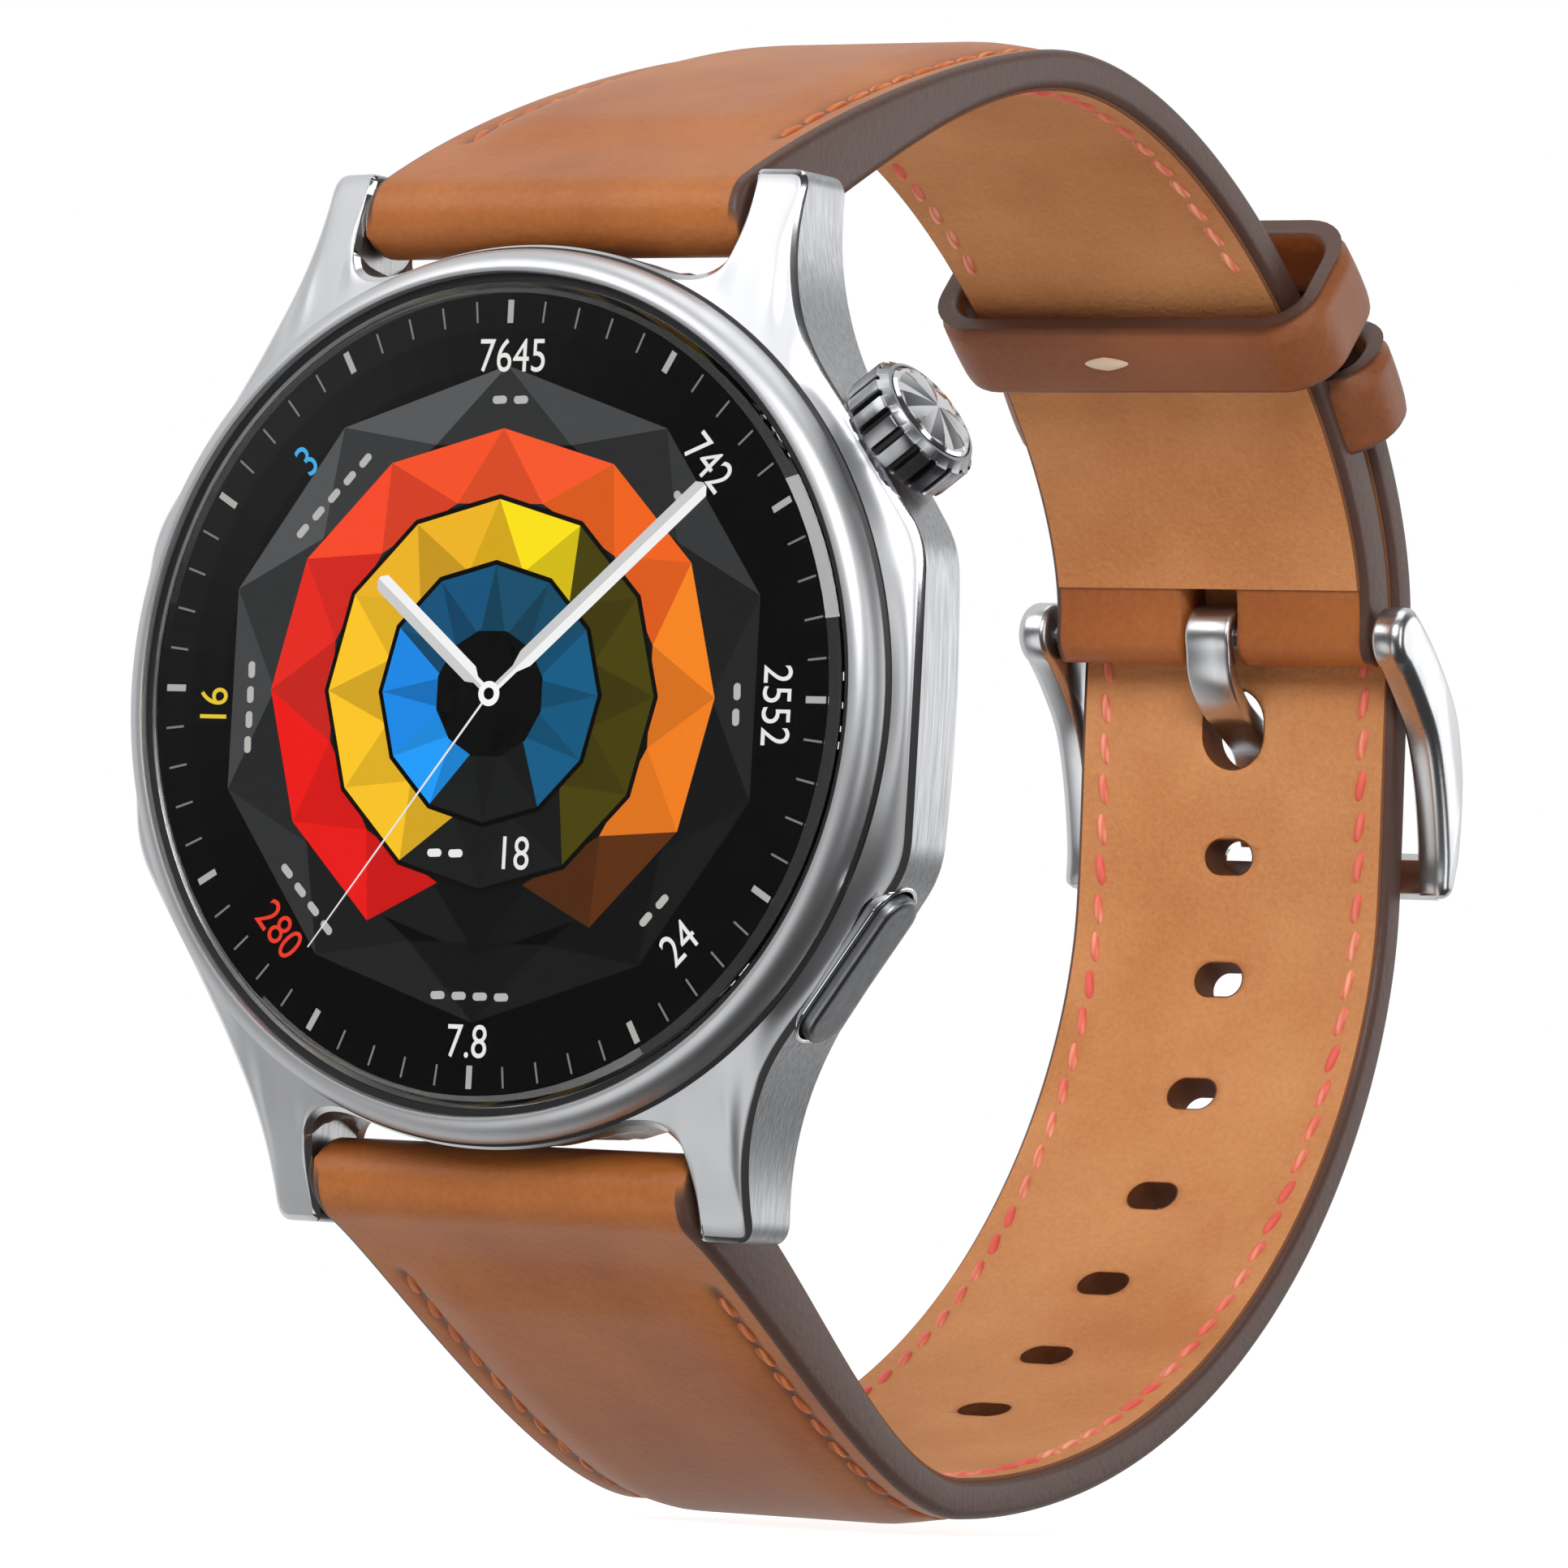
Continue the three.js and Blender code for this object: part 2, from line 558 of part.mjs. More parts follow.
// From the lower spring bar round the bottom, then over the buckle bar, level with the upper half.
const crossing = spot(upperPath, upperLength, 1);
const overBar = crossing.p.clone().addScaledVector(crossing.n, tailOffset);
const lowerPath = new THREE.CurvePath();
lowerPath.add(new THREE.CubicBezierCurve(point(barDepth, -barZ),
  point(barDepth + reachFromLowerBar.depth, -barZ + reachFromLowerBar.z),
  point(loopBottom.depth - reachAtBottom.before, loopBottom.z), point(loopBottom.depth, loopBottom.z)));
lowerPath.add(new THREE.CubicBezierCurve(point(loopBottom.depth, loopBottom.z),
  point(loopBottom.depth + reachAtBottom.after, loopBottom.z),
  point(loopBack.depth, loopBack.z - reachAtBack.before), point(loopBack.depth, loopBack.z)));
lowerPath.add(new THREE.CubicBezierCurve(point(loopBack.depth, loopBack.z),
  point(loopBack.depth, loopBack.z + reachAtBack.after),
  overBar.clone().addScaledVector(crossing.t, reachAtBack.after), overBar));
const barAlong = lowerPath.getLength();
const overlapSteps = 14;
const overlap = Array.from({ length: overlapSteps + 1 }, (_, i) => {
  const place = spot(upperPath, upperLength - (tailTipBack * i) / overlapSteps, 1);
  return place.p.addScaledVector(place.n, tailOffset);
});
lowerPath.add(new THREE.SplineCurve(overlap));
const tailTip = lowerPath.getLength();

const usedHole = barAlong - usedHoleBack;
const upperHinge = upperLength - upperHingeBack;
const lowerHinge = usedHole - 5.5 * holePitch;

const strapWidthAt = (along) => lerp(strapWidth, strapTailWidth, smooth(along, 4, widthRun));
const halfThickAt = (along) => lerp(lugThickness, strapThickness, smooth(along, 0, thickRun)) / 2;
const paddingAt = (along) => padding * smooth(along, 2, 9) * (1 - smooth(along, 24, 48));

// A closed skin over rings of points, with a flat cap at each end.
function loft(rings) {
  const corners = [];
  const count = rings[0].length;
  const face = (...points) => points.forEach((p) => corners.push(p.x, p.y, p.z));
  for (let i = 0; i < rings.length - 1; i += 1) {
    for (let j = 0; j < count; j += 1) {
      const next = (j + 1) % count;
      face(rings[i][j], rings[i][next], rings[i + 1][next]);
      face(rings[i][j], rings[i + 1][next], rings[i + 1][j]);
    }
  }
  const [first, last] = [rings[0], rings[rings.length - 1]];
  for (let j = 1; j < count - 1; j += 1) {
    face(first[0], first[j + 1], first[j]);
    face(last[0], last[j], last[j + 1]);
  }
  const geometry = new THREE.BufferGeometry();
  geometry.setAttribute('position', new THREE.Float32BufferAttribute(corners, 3));
  geometry.computeVertexNormals();
  return geometry;
}

// A band along a path. section(along) lists its [x, out] corners, anticlockwise with out upwards.
function band(path, side, from, to, section) {
  const steps = Math.max(2, Math.ceil((to - from) / strapStep));
  const rings = [];
  for (let i = 0; i <= steps; i += 1) {
    const along = lerp(from, to, i / steps);
    const { p, n } = spot(path, along, side);
    const corners = section(along).map(([x, out]) => new THREE.Vector3(x, depthY(p.x + n.x * out), p.y + n.y * out));
    rings.push(side > 0 ? corners.reverse() : corners);
  }
  return loft(rings);
}

// Moves a solid that is drawn with X across the strap, Y along it and Z through it.
function onStrap(geometry, path, side, along) {
  const { p, t } = spot(path, along, side);
  const x = new THREE.Vector3(1, 0, 0);
  const y = new THREE.Vector3(0, t.x, t.y);
  const matrix = new THREE.Matrix4().makeBasis(x, y, new THREE.Vector3().crossVectors(x, y));
  matrix.setPosition(0, depthY(p.x), p.y);
  return geometry.applyMatrix4(matrix);
}

// The outer leather: a softly crowned top over a flat underside.
function crowned(width, low, high, rise) {
  const w = width / 2;
  const edge = Math.min(0.35, (high - low) / 2);
  return [[-w, low], [w, low], [w, high - edge], [w - edge, high], [w / 2, high + rise * 0.75], [0, high + rise],
    [-w / 2, high + rise * 0.75], [-w + edge, high], [-w, high - edge]];
}

const flat = (width, low, high) => [[-width / 2, low], [width / 2, low], [width / 2, high], [-width / 2, high]];

function strapHole(along, across, lengthwise) {
  const [w, h] = [across / 2, lengthwise / 2];
  const shape = roundedRectangle(-w, -h, w, h, 0.95 * Math.min(w, h));
  const hole = new THREE.ExtrudeGeometry(shape, { depth: 12, bevelEnabled: false, curveSegments: 2 });
  return onStrap(hole.translate(0, 0, -6), lowerPath, -1, along);
}

const holes = Array.from({ length: holeCount }, (_, i) => (i === 0
  ? strapHole(usedHole, usedHoleAcross, usedHoleLengthwise)
  : strapHole(usedHole - i * holePitch, holeLength, holeWidth)));
const holesNear = (from, to) => holes.filter((_, i) => {
  const along = usedHole - i * holePitch;
  return along > from && along < to;
});

// ---------------------------------------------------------------- spring bars

[[1, 'upper'], [-1, 'lower']].forEach(([sign, name]) => {
  const z = sign * barZ;
  const shoulder = lugInnerX - 0.35;
  add(`${name}_bar_tube`, cut(rod(springBarR, -shoulder, shoulder, barDepth, z),
    rod(springPinR + 0.12, -shoulder - 1, shoulder + 1, barDepth, z)), darkSteel);
  [[1, 'right'], [-1, 'left']].forEach(([sx, hand]) => {
    const ends = [sx * (shoulder - 4), sx * (lugInnerX + 1.25)].sort((a, b) => a - b);
    add(`${name}_bar_pin_${hand}`, rod(springPinR, ends[0], ends[1], barDepth, z, 12), steel);
  });
});

// ---------------------------------------------------------------- strap

const liningTop = (along) => -halfThickAt(along) + liningThickness;
const leatherLow = (along) => liningTop(along) + fit;
const lugEnd = (sign) => rod(foldR, -strapWidth / 2, strapWidth / 2, barDepth, sign * barZ, 24);
const lugBore = (sign) => rod(springBarR + fit, -strapWidth, strapWidth, barDepth, sign * barZ);
const liningStart = foldR + 2;

function frontLeather(path, side, to) {
  const sheet = band(path, side, 0, to, (along) => crowned(
    strapWidthAt(along), leatherLow(along), halfThickAt(along), paddingAt(along)));
  const root = band(path, side, 0, liningStart, (along) => flat(
    strapWidthAt(along), -halfThickAt(along), leatherLow(along) + 0.3));
  return cut(join(sheet, root, lugEnd(side)), lugBore(side), ...(side < 0 ? holesNear(0, to) : []));
}

function frontLining(path, side, to) {
  const sheet = band(path, side, liningStart + fit, to, (along) => flat(
    strapWidthAt(along), -halfThickAt(along), liningTop(along)));
  return side < 0 ? cut(sheet, ...holesNear(0, to)) : sheet;
}

add('upper_strap_leather', frontLeather(upperPath, 1, upperHinge - hingeGap / 2), leather);
add('upper_strap_lining', frontLining(upperPath, 1, upperHinge - hingeGap / 2), lining);
add('lower_strap_leather', frontLeather(lowerPath, -1, lowerHinge - hingeGap / 2), leather);
add('lower_strap_lining', frontLining(lowerPath, -1, lowerHinge - hingeGap / 2), lining);

// The buckle end: the leather folds back round the buckle bar, so it is thicker from the fixed keeper on.
const foldStart = upperLength - foldedRun;
const endHalfAt = (along) => lerp(strapThickness / 2, buckleFoldR - 0.1, smooth(along, foldStart - 3, foldStart));
const endLiningTop = (along) => -endHalfAt(along) + liningThickness;
const panelEnd = upperLength - panelEndBack;
const fixedKeeperAt = upperLength - fixedKeeperBack;
const keeperRun = 0.95;
const pocketLow = endLiningTop(upperLength);

function buckleEnd() {
  const sheet = band(upperPath, 1, upperHinge + hingeGap / 2, upperLength, (along) => crowned(
    strapWidthAt(along), endLiningTop(along) + fit, endHalfAt(along), 0));
  const turnedBack = band(upperPath, 1, panelEnd + fit, upperLength, (along) => flat(
    strapWidthAt(along), -endHalfAt(along), 0));
  const w = strapTailWidth / 2;
  const fold = rod(buckleFoldR, -w, w, buckleBarDepth, buckleBarZ, 20);
  const bore = rod(buckleBarR + fit, -w - 1, w + 1, buckleBarDepth, buckleBarZ);
  const slot = block(tongueSlot, 9, 5.6, -0.1, buckleBarDepth, buckleBarZ);
  const pocket = onStrap(new THREE.BoxGeometry(strapTailWidth + 2, keeperWidth + 0.5, keeperRun + 0.5)
    .translate(0, 0, pocketLow + (keeperRun + 0.5) / 2 - 0.1), upperPath, 1, fixedKeeperAt);
  return cut(join(sheet, turnedBack, fold), bore, slot, pocket);
}

add('upper_end_leather', buckleEnd(), leather);
add('upper_end_lining', band(upperPath, 1, upperHinge + hingeGap / 2, panelEnd, (along) => flat(
  strapWidthAt(along), -endHalfAt(along), endLiningTop(along))), lining);

// The tail: straight sides and a rounded tip.
const tailWidthAt = (along) => {
  const u = THREE.MathUtils.clamp((along - (tailTip - tipRun)) / tipRun, 0, 1);
  return strapWidthAt(along) * Math.sqrt(1 - (0.97 * u) ** 2);
};
const tailHalf = strapThickness / 2;
const tailStart = lowerHinge + hingeGap / 2;
add('tail_leather', cut(band(lowerPath, -1, tailStart, tailTip, (along) => crowned(
  tailWidthAt(along), -tailHalf + liningThickness + fit, tailHalf, 0)), ...holesNear(tailStart, tailTip)), leather);
add('tail_lining', cut(band(lowerPath, -1, tailStart, tailTip, (along) => flat(
  tailWidthAt(along), -tailHalf, -tailHalf + liningThickness)), ...holesNear(tailStart, tailTip)), lining);

// ---------------------------------------------------------------- keepers

const keeperHalf = strapTailWidth / 2 + 0.75;
const keeperOut = tailOffset + tailHalf + 0.35;

function keeper(low, innerThickness, along) {
  const shape = roundedRectangle(-keeperHalf - keeperThickness, low - innerThickness,
    keeperHalf + keeperThickness, keeperOut + keeperThickness, 2);
  shape.holes.push(roundedRectangle(-keeperHalf, low, keeperHalf, keeperOut, 0.9, THREE.Path));
  const geometry = new THREE.ExtrudeGeometry(shape, { depth: keeperWidth, bevelEnabled: false, curveSegments: 5 });
  return onStrap(geometry.rotateX(Math.PI / 2).translate(0, keeperWidth / 2, 0), upperPath, 1, along);
}

const freeKeeperAt = upperLength - freeKeeperBack;
const freeLow = -endHalfAt(freeKeeperAt + keeperWidth / 2) - 0.35;
const stapleSeat = (grow, sink) => onStrap(new THREE.ExtrudeGeometry(
  stadium(staple.length + grow, staple.width + grow),
  { depth: staple.thickness, bevelEnabled: false, curveSegments: 6 })
  .translate(stapleAt, 0, freeLow - keeperThickness - 0.12 + sink), upperPath, 1, freeKeeperAt);
add('fixed_keeper', keeper(pocketLow + 0.1 + keeperRun, keeperRun, fixedKeeperAt), leather);
add('free_keeper', cut(keeper(freeLow, keeperThickness, freeKeeperAt), stapleSeat(0.25, 0.1)), leather);
add('keeper_staple', stapleSeat(0, 0), thread);

// ---------------------------------------------------------------- buckle

const armInner = strapTailWidth / 2 + 0.4;
const armOuter = armInner + buckleArmWidth;
const aboutBar = (corners) => corners.map(([depth, z]) => [buckleBarDepth + depth, buckleBarZ + z]);

// A tusk-shaped arm: a round head on the bar, bowing out past the tail and narrowing to the cross bar.
function armSide() {
  const outer = new THREE.SplineCurve([point(0.3, armHeadR), point(3, -0.4), point(5.5, -3.3), point(6.6, -6.3),
    point(6.85, -8.5), point(6.75, -11.4), point(6.3, -13.2)]).getPoints(16);
  const inner = new THREE.SplineCurve([point(4.85, -13.2), point(4.75, -11.5), point(4, -8.2), point(2.9, -5.4),
    point(1.2, -3.3), point(-0.6, -1.55)]).getPoints(14);
  return aboutBar([...outer, ...inner].map((p) => [p.x, p.y]).reverse());
}

function buckleFrame() {
  const arms = [[-armOuter, -armInner], [armInner, armOuter]].map(([x0, x1]) => join(
    crosswise(armSide(), x0, x1), crosswise(circle(buckleBarDepth, buckleBarZ, armHeadR), x0, x1)));
  const crossBar = crosswise(aboutBar([[4.85, -13.9], [6, -13.9], [6.6, -13.2], [6.75, -11.8], [6.2, -11.4],
    [4.85, -11.4]]), -armOuter, armOuter);
  const notch = block(tongueWidth + 0.5, 4, 1.4, 0, buckleBarDepth + 6, buckleBarZ - 11.4);
  const pinHoles = [-1, 1].map((sx) => rod(0.5 + fit, Math.min(sx * 9, sx * (armOuter - 0.5)),
    Math.max(sx * 9, sx * (armOuter - 0.5)), buckleBarDepth, buckleBarZ));
  return cut(join(...arms, crossBar), notch, ...pinHoles);
}

add('buckle_frame', buckleFrame(), brightSteel);
add('buckle_bar', join(rod(buckleBarR, -armInner + 0.2, armInner - 0.2, buckleBarDepth, buckleBarZ),
  rod(0.5, -armOuter + 0.65, armOuter - 0.65, buckleBarDepth, buckleBarZ)), steel);

// The tongue curls round the bar, runs down inside the tail, and comes out through the hole in use.
const blade = strip(aboutBar([[-1.1, -0.6], [-0.6, -2.3], [0.9, -3.8], [3, -4.9], [4.8, -6.1], [5.5, -8.2],
  [5.6, -11.2]]), 1.05);
add('buckle_tongue', cut(join(crosswise(circle(buckleBarDepth, buckleBarZ, 1.7), -tongueWidth / 2, tongueWidth / 2),
  crosswise(blade, -tongueWidth / 2, tongueWidth / 2)),
rod(buckleBarR + fit, -tongueWidth, tongueWidth, buckleBarDepth, buckleBarZ)), brightSteel);

export default watch;
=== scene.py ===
import math

import bpy
import numpy as np
from mathutils import Matrix, Vector


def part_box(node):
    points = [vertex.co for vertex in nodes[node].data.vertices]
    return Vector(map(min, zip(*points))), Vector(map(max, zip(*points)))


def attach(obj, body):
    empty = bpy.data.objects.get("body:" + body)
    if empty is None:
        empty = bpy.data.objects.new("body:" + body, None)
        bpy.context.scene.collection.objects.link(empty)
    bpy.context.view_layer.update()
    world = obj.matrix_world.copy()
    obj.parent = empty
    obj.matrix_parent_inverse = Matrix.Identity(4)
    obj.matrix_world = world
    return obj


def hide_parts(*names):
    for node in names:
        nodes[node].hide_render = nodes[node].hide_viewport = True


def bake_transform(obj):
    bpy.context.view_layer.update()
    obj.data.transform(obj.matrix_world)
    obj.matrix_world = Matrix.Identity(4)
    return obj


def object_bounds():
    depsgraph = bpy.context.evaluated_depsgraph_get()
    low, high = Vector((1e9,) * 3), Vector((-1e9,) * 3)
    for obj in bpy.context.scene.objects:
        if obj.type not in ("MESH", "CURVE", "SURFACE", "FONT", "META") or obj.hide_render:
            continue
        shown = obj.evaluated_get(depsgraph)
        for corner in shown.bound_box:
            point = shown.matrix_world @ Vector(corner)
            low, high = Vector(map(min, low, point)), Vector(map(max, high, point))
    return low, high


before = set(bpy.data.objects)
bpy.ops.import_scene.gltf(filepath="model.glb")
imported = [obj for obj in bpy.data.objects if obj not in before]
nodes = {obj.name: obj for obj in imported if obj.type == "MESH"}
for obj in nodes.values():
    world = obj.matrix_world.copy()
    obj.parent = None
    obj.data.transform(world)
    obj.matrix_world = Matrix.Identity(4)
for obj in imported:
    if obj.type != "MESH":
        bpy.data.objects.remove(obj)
cad_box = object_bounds()

# ------------------------------------------------------------------ camera, floor and light
# The watch stands on the lowest point of its strap, on a pale floor with no visible edge. A long lens looks at it
# from its crown side, level with the dial. Five soft boxes light it, in a dark room with one bright wall.

RIGHT = (0.847, 0.529, 0.0537)
UP = (-0.0205, -0.068, 0.9976)
BACK = (0.531, -0.846, -0.047)
EYE = (0.2793, -0.4284, -0.0272)


def shader(name, **values):
    """A new material: its node tree and its Principled BSDF, with the given input values."""
    material = bpy.data.materials.new(name)
    material.use_nodes = True
    bsdf = material.node_tree.nodes["Principled BSDF"]
    for socket, value in values.items():
        bsdf.inputs[socket.replace("_", " ")].default_value = value
    return material, material.node_tree, bsdf


def add(tree, kind, inputs=(), **settings):
    """A new shader node, with pairs of input and value, and its settings."""
    node = tree.nodes.new(f"ShaderNode{kind}")
    for setting, value in settings.items():
        setattr(node, setting, value)
    for socket, value in inputs:
        node.inputs[socket].default_value = value
    return node


def join(tree, *links):
    """Links given as source node, output, target node and input."""
    for source, output, target, socket in links:
        tree.links.new(source.outputs[output], target.inputs[socket])


def show(name, data):
    """A new object of a mesh, light or camera, in the scene."""
    shown = bpy.data.objects.new(name, data)
    bpy.context.scene.collection.objects.link(shown)
    return shown


def rgb(red, green, blue):
    """The linear colour of an sRGB colour from 0 to 255: ((c + 0.055) / 1.055) ** 2.4."""
    channels = np.array([red, green, blue]) / 255
    linear = np.where(channels <= 0.04045, channels / 12.92, ((channels + 0.055) / 1.055) ** 2.4)
    return (*linear.tolist(), 1)


camera_data = bpy.data.cameras.new("camera")
camera_data.sensor_width = 36
camera_data.lens = 234.8
camera = show("camera", camera_data)
camera.matrix_world = Matrix([(*row, eye) for row, eye in zip(zip(RIGHT, UP, BACK), EYE)] + [(0, 0, 0, 1)])
bpy.context.scene.camera = camera
bpy.context.scene.view_settings.view_transform = "Standard"

FLOOR_RADIUS = 3.0
FLOOR_GAP = 0.0005
floor_angles = np.linspace(0, 2 * np.pi, 96, endpoint=False)
floor_ring = np.stack([FLOOR_RADIUS * np.cos(floor_angles), FLOOR_RADIUS * np.sin(floor_angles),
                       np.full(96, cad_box[0][2] - FLOOR_GAP)], axis=1)
floor_mesh = bpy.data.meshes.new("floor")
floor_mesh.from_pydata(floor_ring.tolist(), [], [list(range(96))])
floor = show("floor", floor_mesh)
floor_paint, floor_tree, floor_bsdf = shader("floor_paint", Base_Color=(0.5, 0.5, 0.5, 1), Roughness=0.9,
                                             Specular_IOR_Level=0.0, Emission_Color=(1, 1, 1, 1))
floor_light = add(floor_tree, "LightPath")
floor_glow = add(floor_tree, "Math", [(1, 0.60), (2, 0.30)], operation="MULTIPLY_ADD")
join(floor_tree, (floor_light, "Is Camera Ray", floor_glow, 0),
     (floor_glow, "Value", floor_bsdf, "Emission Strength"))
floor.visible_glossy = False
floor_mesh.materials.append(floor_paint)

world = bpy.data.worlds.new("studio")
bpy.context.scene.world = world
world.use_nodes = True
room = world.node_tree
background = room.nodes["Background"]
light_path = add(room, "LightPath")
room_mix = add(room, "Mix", [(7, (1.0, 1.0, 1.0, 1))], data_type="RGBA")
room_place = add(room, "TexCoord")
room_glow = add(room, "Math", operation="ADD")
# The wall behind and to the left is bright, and a card low in front fills the lower lugs.
for facing, low, high, dark, bright, end in (((-0.6, 0.55, 0.1), -0.1, 0.45, 0.05, 0.80, 0),
                                             ((-0.168, -0.843, -0.516), 0.84, 0.96, 0.0, 1.2, 1)):
    facing_wall = add(room, "VectorMath", [(1, facing)], operation="DOT_PRODUCT")
    wall = add(room, "MapRange", [("From Min", low), ("From Max", high), ("To Min", dark), ("To Max", bright)],
               interpolation_type="SMOOTHSTEP")
    join(room, (room_place, "Generated", facing_wall, 0),
         (facing_wall, "Value", wall, "Value"), (wall, "Result", room_glow, end))
join(room, (room_glow, "Value", room_mix, 6),
     (light_path, "Is Camera Ray", room_mix, "Factor"),
     (room_mix, 2, background, "Color"))


def soft_box(name, place, size, power, target=(0.0, 0.02, 0.0)):
    """A flat area light at a place, turned to face the target."""
    lamp = bpy.data.lights.new(name, "AREA")
    lamp.shape = "RECTANGLE"
    lamp.size, lamp.size_y = size
    lamp.energy = power
    holder = show(name, lamp)
    holder.location = place
    holder.rotation_euler = (Vector(target) - Vector(place)).to_track_quat("-Z", "Y").to_euler()


soft_box("key_light", (-0.35, -0.60, 0.55), (0.62, 0.62), 3.1)
soft_box("crown_side_light", (0.75, -0.10, 0.10), (0.16, 0.60), 0.9)
soft_box("inside_light", (0.40, -0.60, 0.40), (0.35, 0.35), 4.4, (0.0, 0.05, -0.02))
soft_box("top_light", (0.10, 0.10, 0.80), (0.60, 0.60), 1.8)
soft_box("side_band_light", (0.50, 0.62, 0.10), (0.60, 0.40), 1.1)

# ------------------------------------------------------------------ mid case
# The case's middle is one forged and milled piece of steel: a round tub with four lugs. Its front and lugs are satin,
# its side band and lug sides are brushed along their length, and a polished chamfer runs along the edge between them.

MM = 0.001
FRONT_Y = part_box("cover_glass")[0][1] / MM
SEAM_R = 22.1
CASE_CHAMFER = 0.28
LUG_INNER_X = 11.25
BAR_DEPTH = (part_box("upper_bar_tube")[0][1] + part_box("upper_bar_tube")[1][1]) / 2 / MM - FRONT_Y
BAR_Z = (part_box("upper_bar_tube")[0][2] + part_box("upper_bar_tube")[1][2]) / 2 / MM
SCOOP_R = 3.0


def quads(rows, columns, wrap_rows, wrap_columns):
    """Corner numbers of a grid's faces: each joins a point, its right neighbour, and those one row on."""
    i = np.arange(rows if wrap_rows else rows - 1)[:, None]
    j = np.arange(columns if wrap_columns else columns - 1)[None, :]
    i2, j2 = (i + 1) % rows, (j + 1) % columns
    return np.stack([i * columns + j, i * columns + j2, i2 * columns + j2, i2 * columns + j], axis=-1).reshape(-1, 4)


def solid(name, points, faces, material, ends=(), sharp=35, masks=None):
    """A mesh from points in millimetres. A negative volume means its faces point inwards, and turns them."""
    points = np.asarray(points, float).reshape(-1, 3)
    a, b, c, d = (points[faces[:, k]] for k in range(4))
    volume = (np.cross(a, b) * c).sum() + (np.cross(a, c) * d).sum()
    listed = faces.tolist() + [list(ring) for ring in ends]
    if volume < 0:
        listed = [face[::-1] for face in listed]
    mesh = bpy.data.meshes.new(name)
    mesh.from_pydata((points * MM).tolist(), [], listed)
    for mask, values in (masks or {}).items():
        mesh.attributes.new(mask, "FLOAT", "POINT").data.foreach_set("value", np.asarray(values, np.float32).ravel())
    mesh.materials.append(material)
    mesh.shade_smooth()
    mesh.set_sharp_from_angle(angle=math.radians(sharp))
    return show(name, mesh)


def loft(name, rings, material, sharp=35, masks=None):
    """A closed solid over rings of points, with a flat face across the first ring and across the last."""
    rows, columns = rings.shape[:2]
    last = (rows - 1) * columns
    ends = (range(columns - 1, -1, -1), range(last, last + columns))
    return solid(name, rings, quads(rows, columns, False, True), material, ends, sharp, masks)


def combine(piece, operation, tools):
    """Cuts the tools' solids out of a piece or joins them to it, and removes the tools."""
    for tool in tools:
        step = piece.modifiers.new("combine", "BOOLEAN")
        step.operation = operation
        step.solver = "EXACT"
        step.object = tool
    bpy.context.view_layer.update()
    shape = bpy.data.meshes.new_from_object(piece.evaluated_get(bpy.context.evaluated_depsgraph_get()))
    piece.modifiers.clear()
    piece.data = shape
    for tool in tools:
        bpy.data.objects.remove(tool)
    return piece


def carve(piece, *tools):
    return combine(piece, "DIFFERENCE", tools)


def effect(name, inputs, outputs):
    """A shader node group with named sockets, given as name: socket kind."""
    tree = bpy.data.node_groups.new(name, "ShaderNodeTree")
    for socket, kind in inputs.items():
        tree.interface.new_socket(socket, in_out="INPUT", socket_type=f"NodeSocket{kind}")
    for socket, kind in outputs.items():
        tree.interface.new_socket(socket, in_out="OUTPUT", socket_type=f"NodeSocket{kind}")
    return tree, tree.nodes.new("NodeGroupInput"), tree.nodes.new("NodeGroupOutput")


# The brushing effect: long streaks and soft cloudiness, which shade the colour, the roughness and the height.
brushing, brush_in, brush_out = effect(
    "brushing",
    {"Light": "Color", "Dark": "Color", "Stretch": "Vector", "Smooth": "Float", "Rough": "Float"},
    {"Color": "Color", "Roughness": "Float", "Height": "Float"})
brush_place = add(brushing, "TexCoord")
brush_map = add(brushing, "Mapping")
brush_streaks = add(brushing, "TexNoise", [("Scale", 1), ("Detail", 4)])
brush_clouds = add(brushing, "TexNoise", [("Scale", 160), ("Detail", 3)])
brush_sum = add(brushing, "Math", [(1, 0.4)], operation="MULTIPLY_ADD")
brush_colour = add(brushing, "Mix", data_type="RGBA")
brush_rough = add(brushing, "Mix")
join(brushing,
     (brush_place, "Object", brush_map, "Vector"), (brush_in, "Stretch", brush_map, "Scale"),
     (brush_map, "Vector", brush_streaks, "Vector"),
     (brush_place, "Object", brush_clouds, "Vector"),
     (brush_clouds, "Fac", brush_sum, 0), (brush_streaks, "Fac", brush_sum, 2),
     (brush_streaks, "Fac", brush_colour, "Factor"),
     (brush_in, "Light", brush_colour, 6), (brush_in, "Dark", brush_colour, 7),
     (brush_sum, "Value", brush_rough, "Factor"),
     (brush_in, "Smooth", brush_rough, 2), (brush_in, "Rough", brush_rough, 3),
     (brush_colour, 2, brush_out, "Color"), (brush_rough, 0, brush_out, "Roughness"),
     (brush_streaks, "Fac", brush_out, "Height"))


RELIEF_DEPTH = 0.00005


def metal(name, light, dark, stretch, smooth, rough, bump):
    """A metal whose brushing is stretched by the given scales along X, Y and Z, per metre."""
    material, tree, bsdf = shader(name, Metallic=1)
    finish = add(tree, "Group", node_tree=brushing)
    for socket, value in (("Light", rgb(*light)), ("Dark", rgb(*dark)), ("Stretch", stretch), ("Smooth", smooth),
                          ("Rough", rough)):
        finish.inputs[socket].default_value = value
    relief = add(tree, "Bump", [("Strength", bump), ("Distance", RELIEF_DEPTH)])
    join(tree, (finish, "Color", bsdf, "Base Color"),
         (finish, "Roughness", bsdf, "Roughness"),
         (finish, "Height", relief, "Height"), (relief, "Normal", bsdf, "Normal"))
    return material


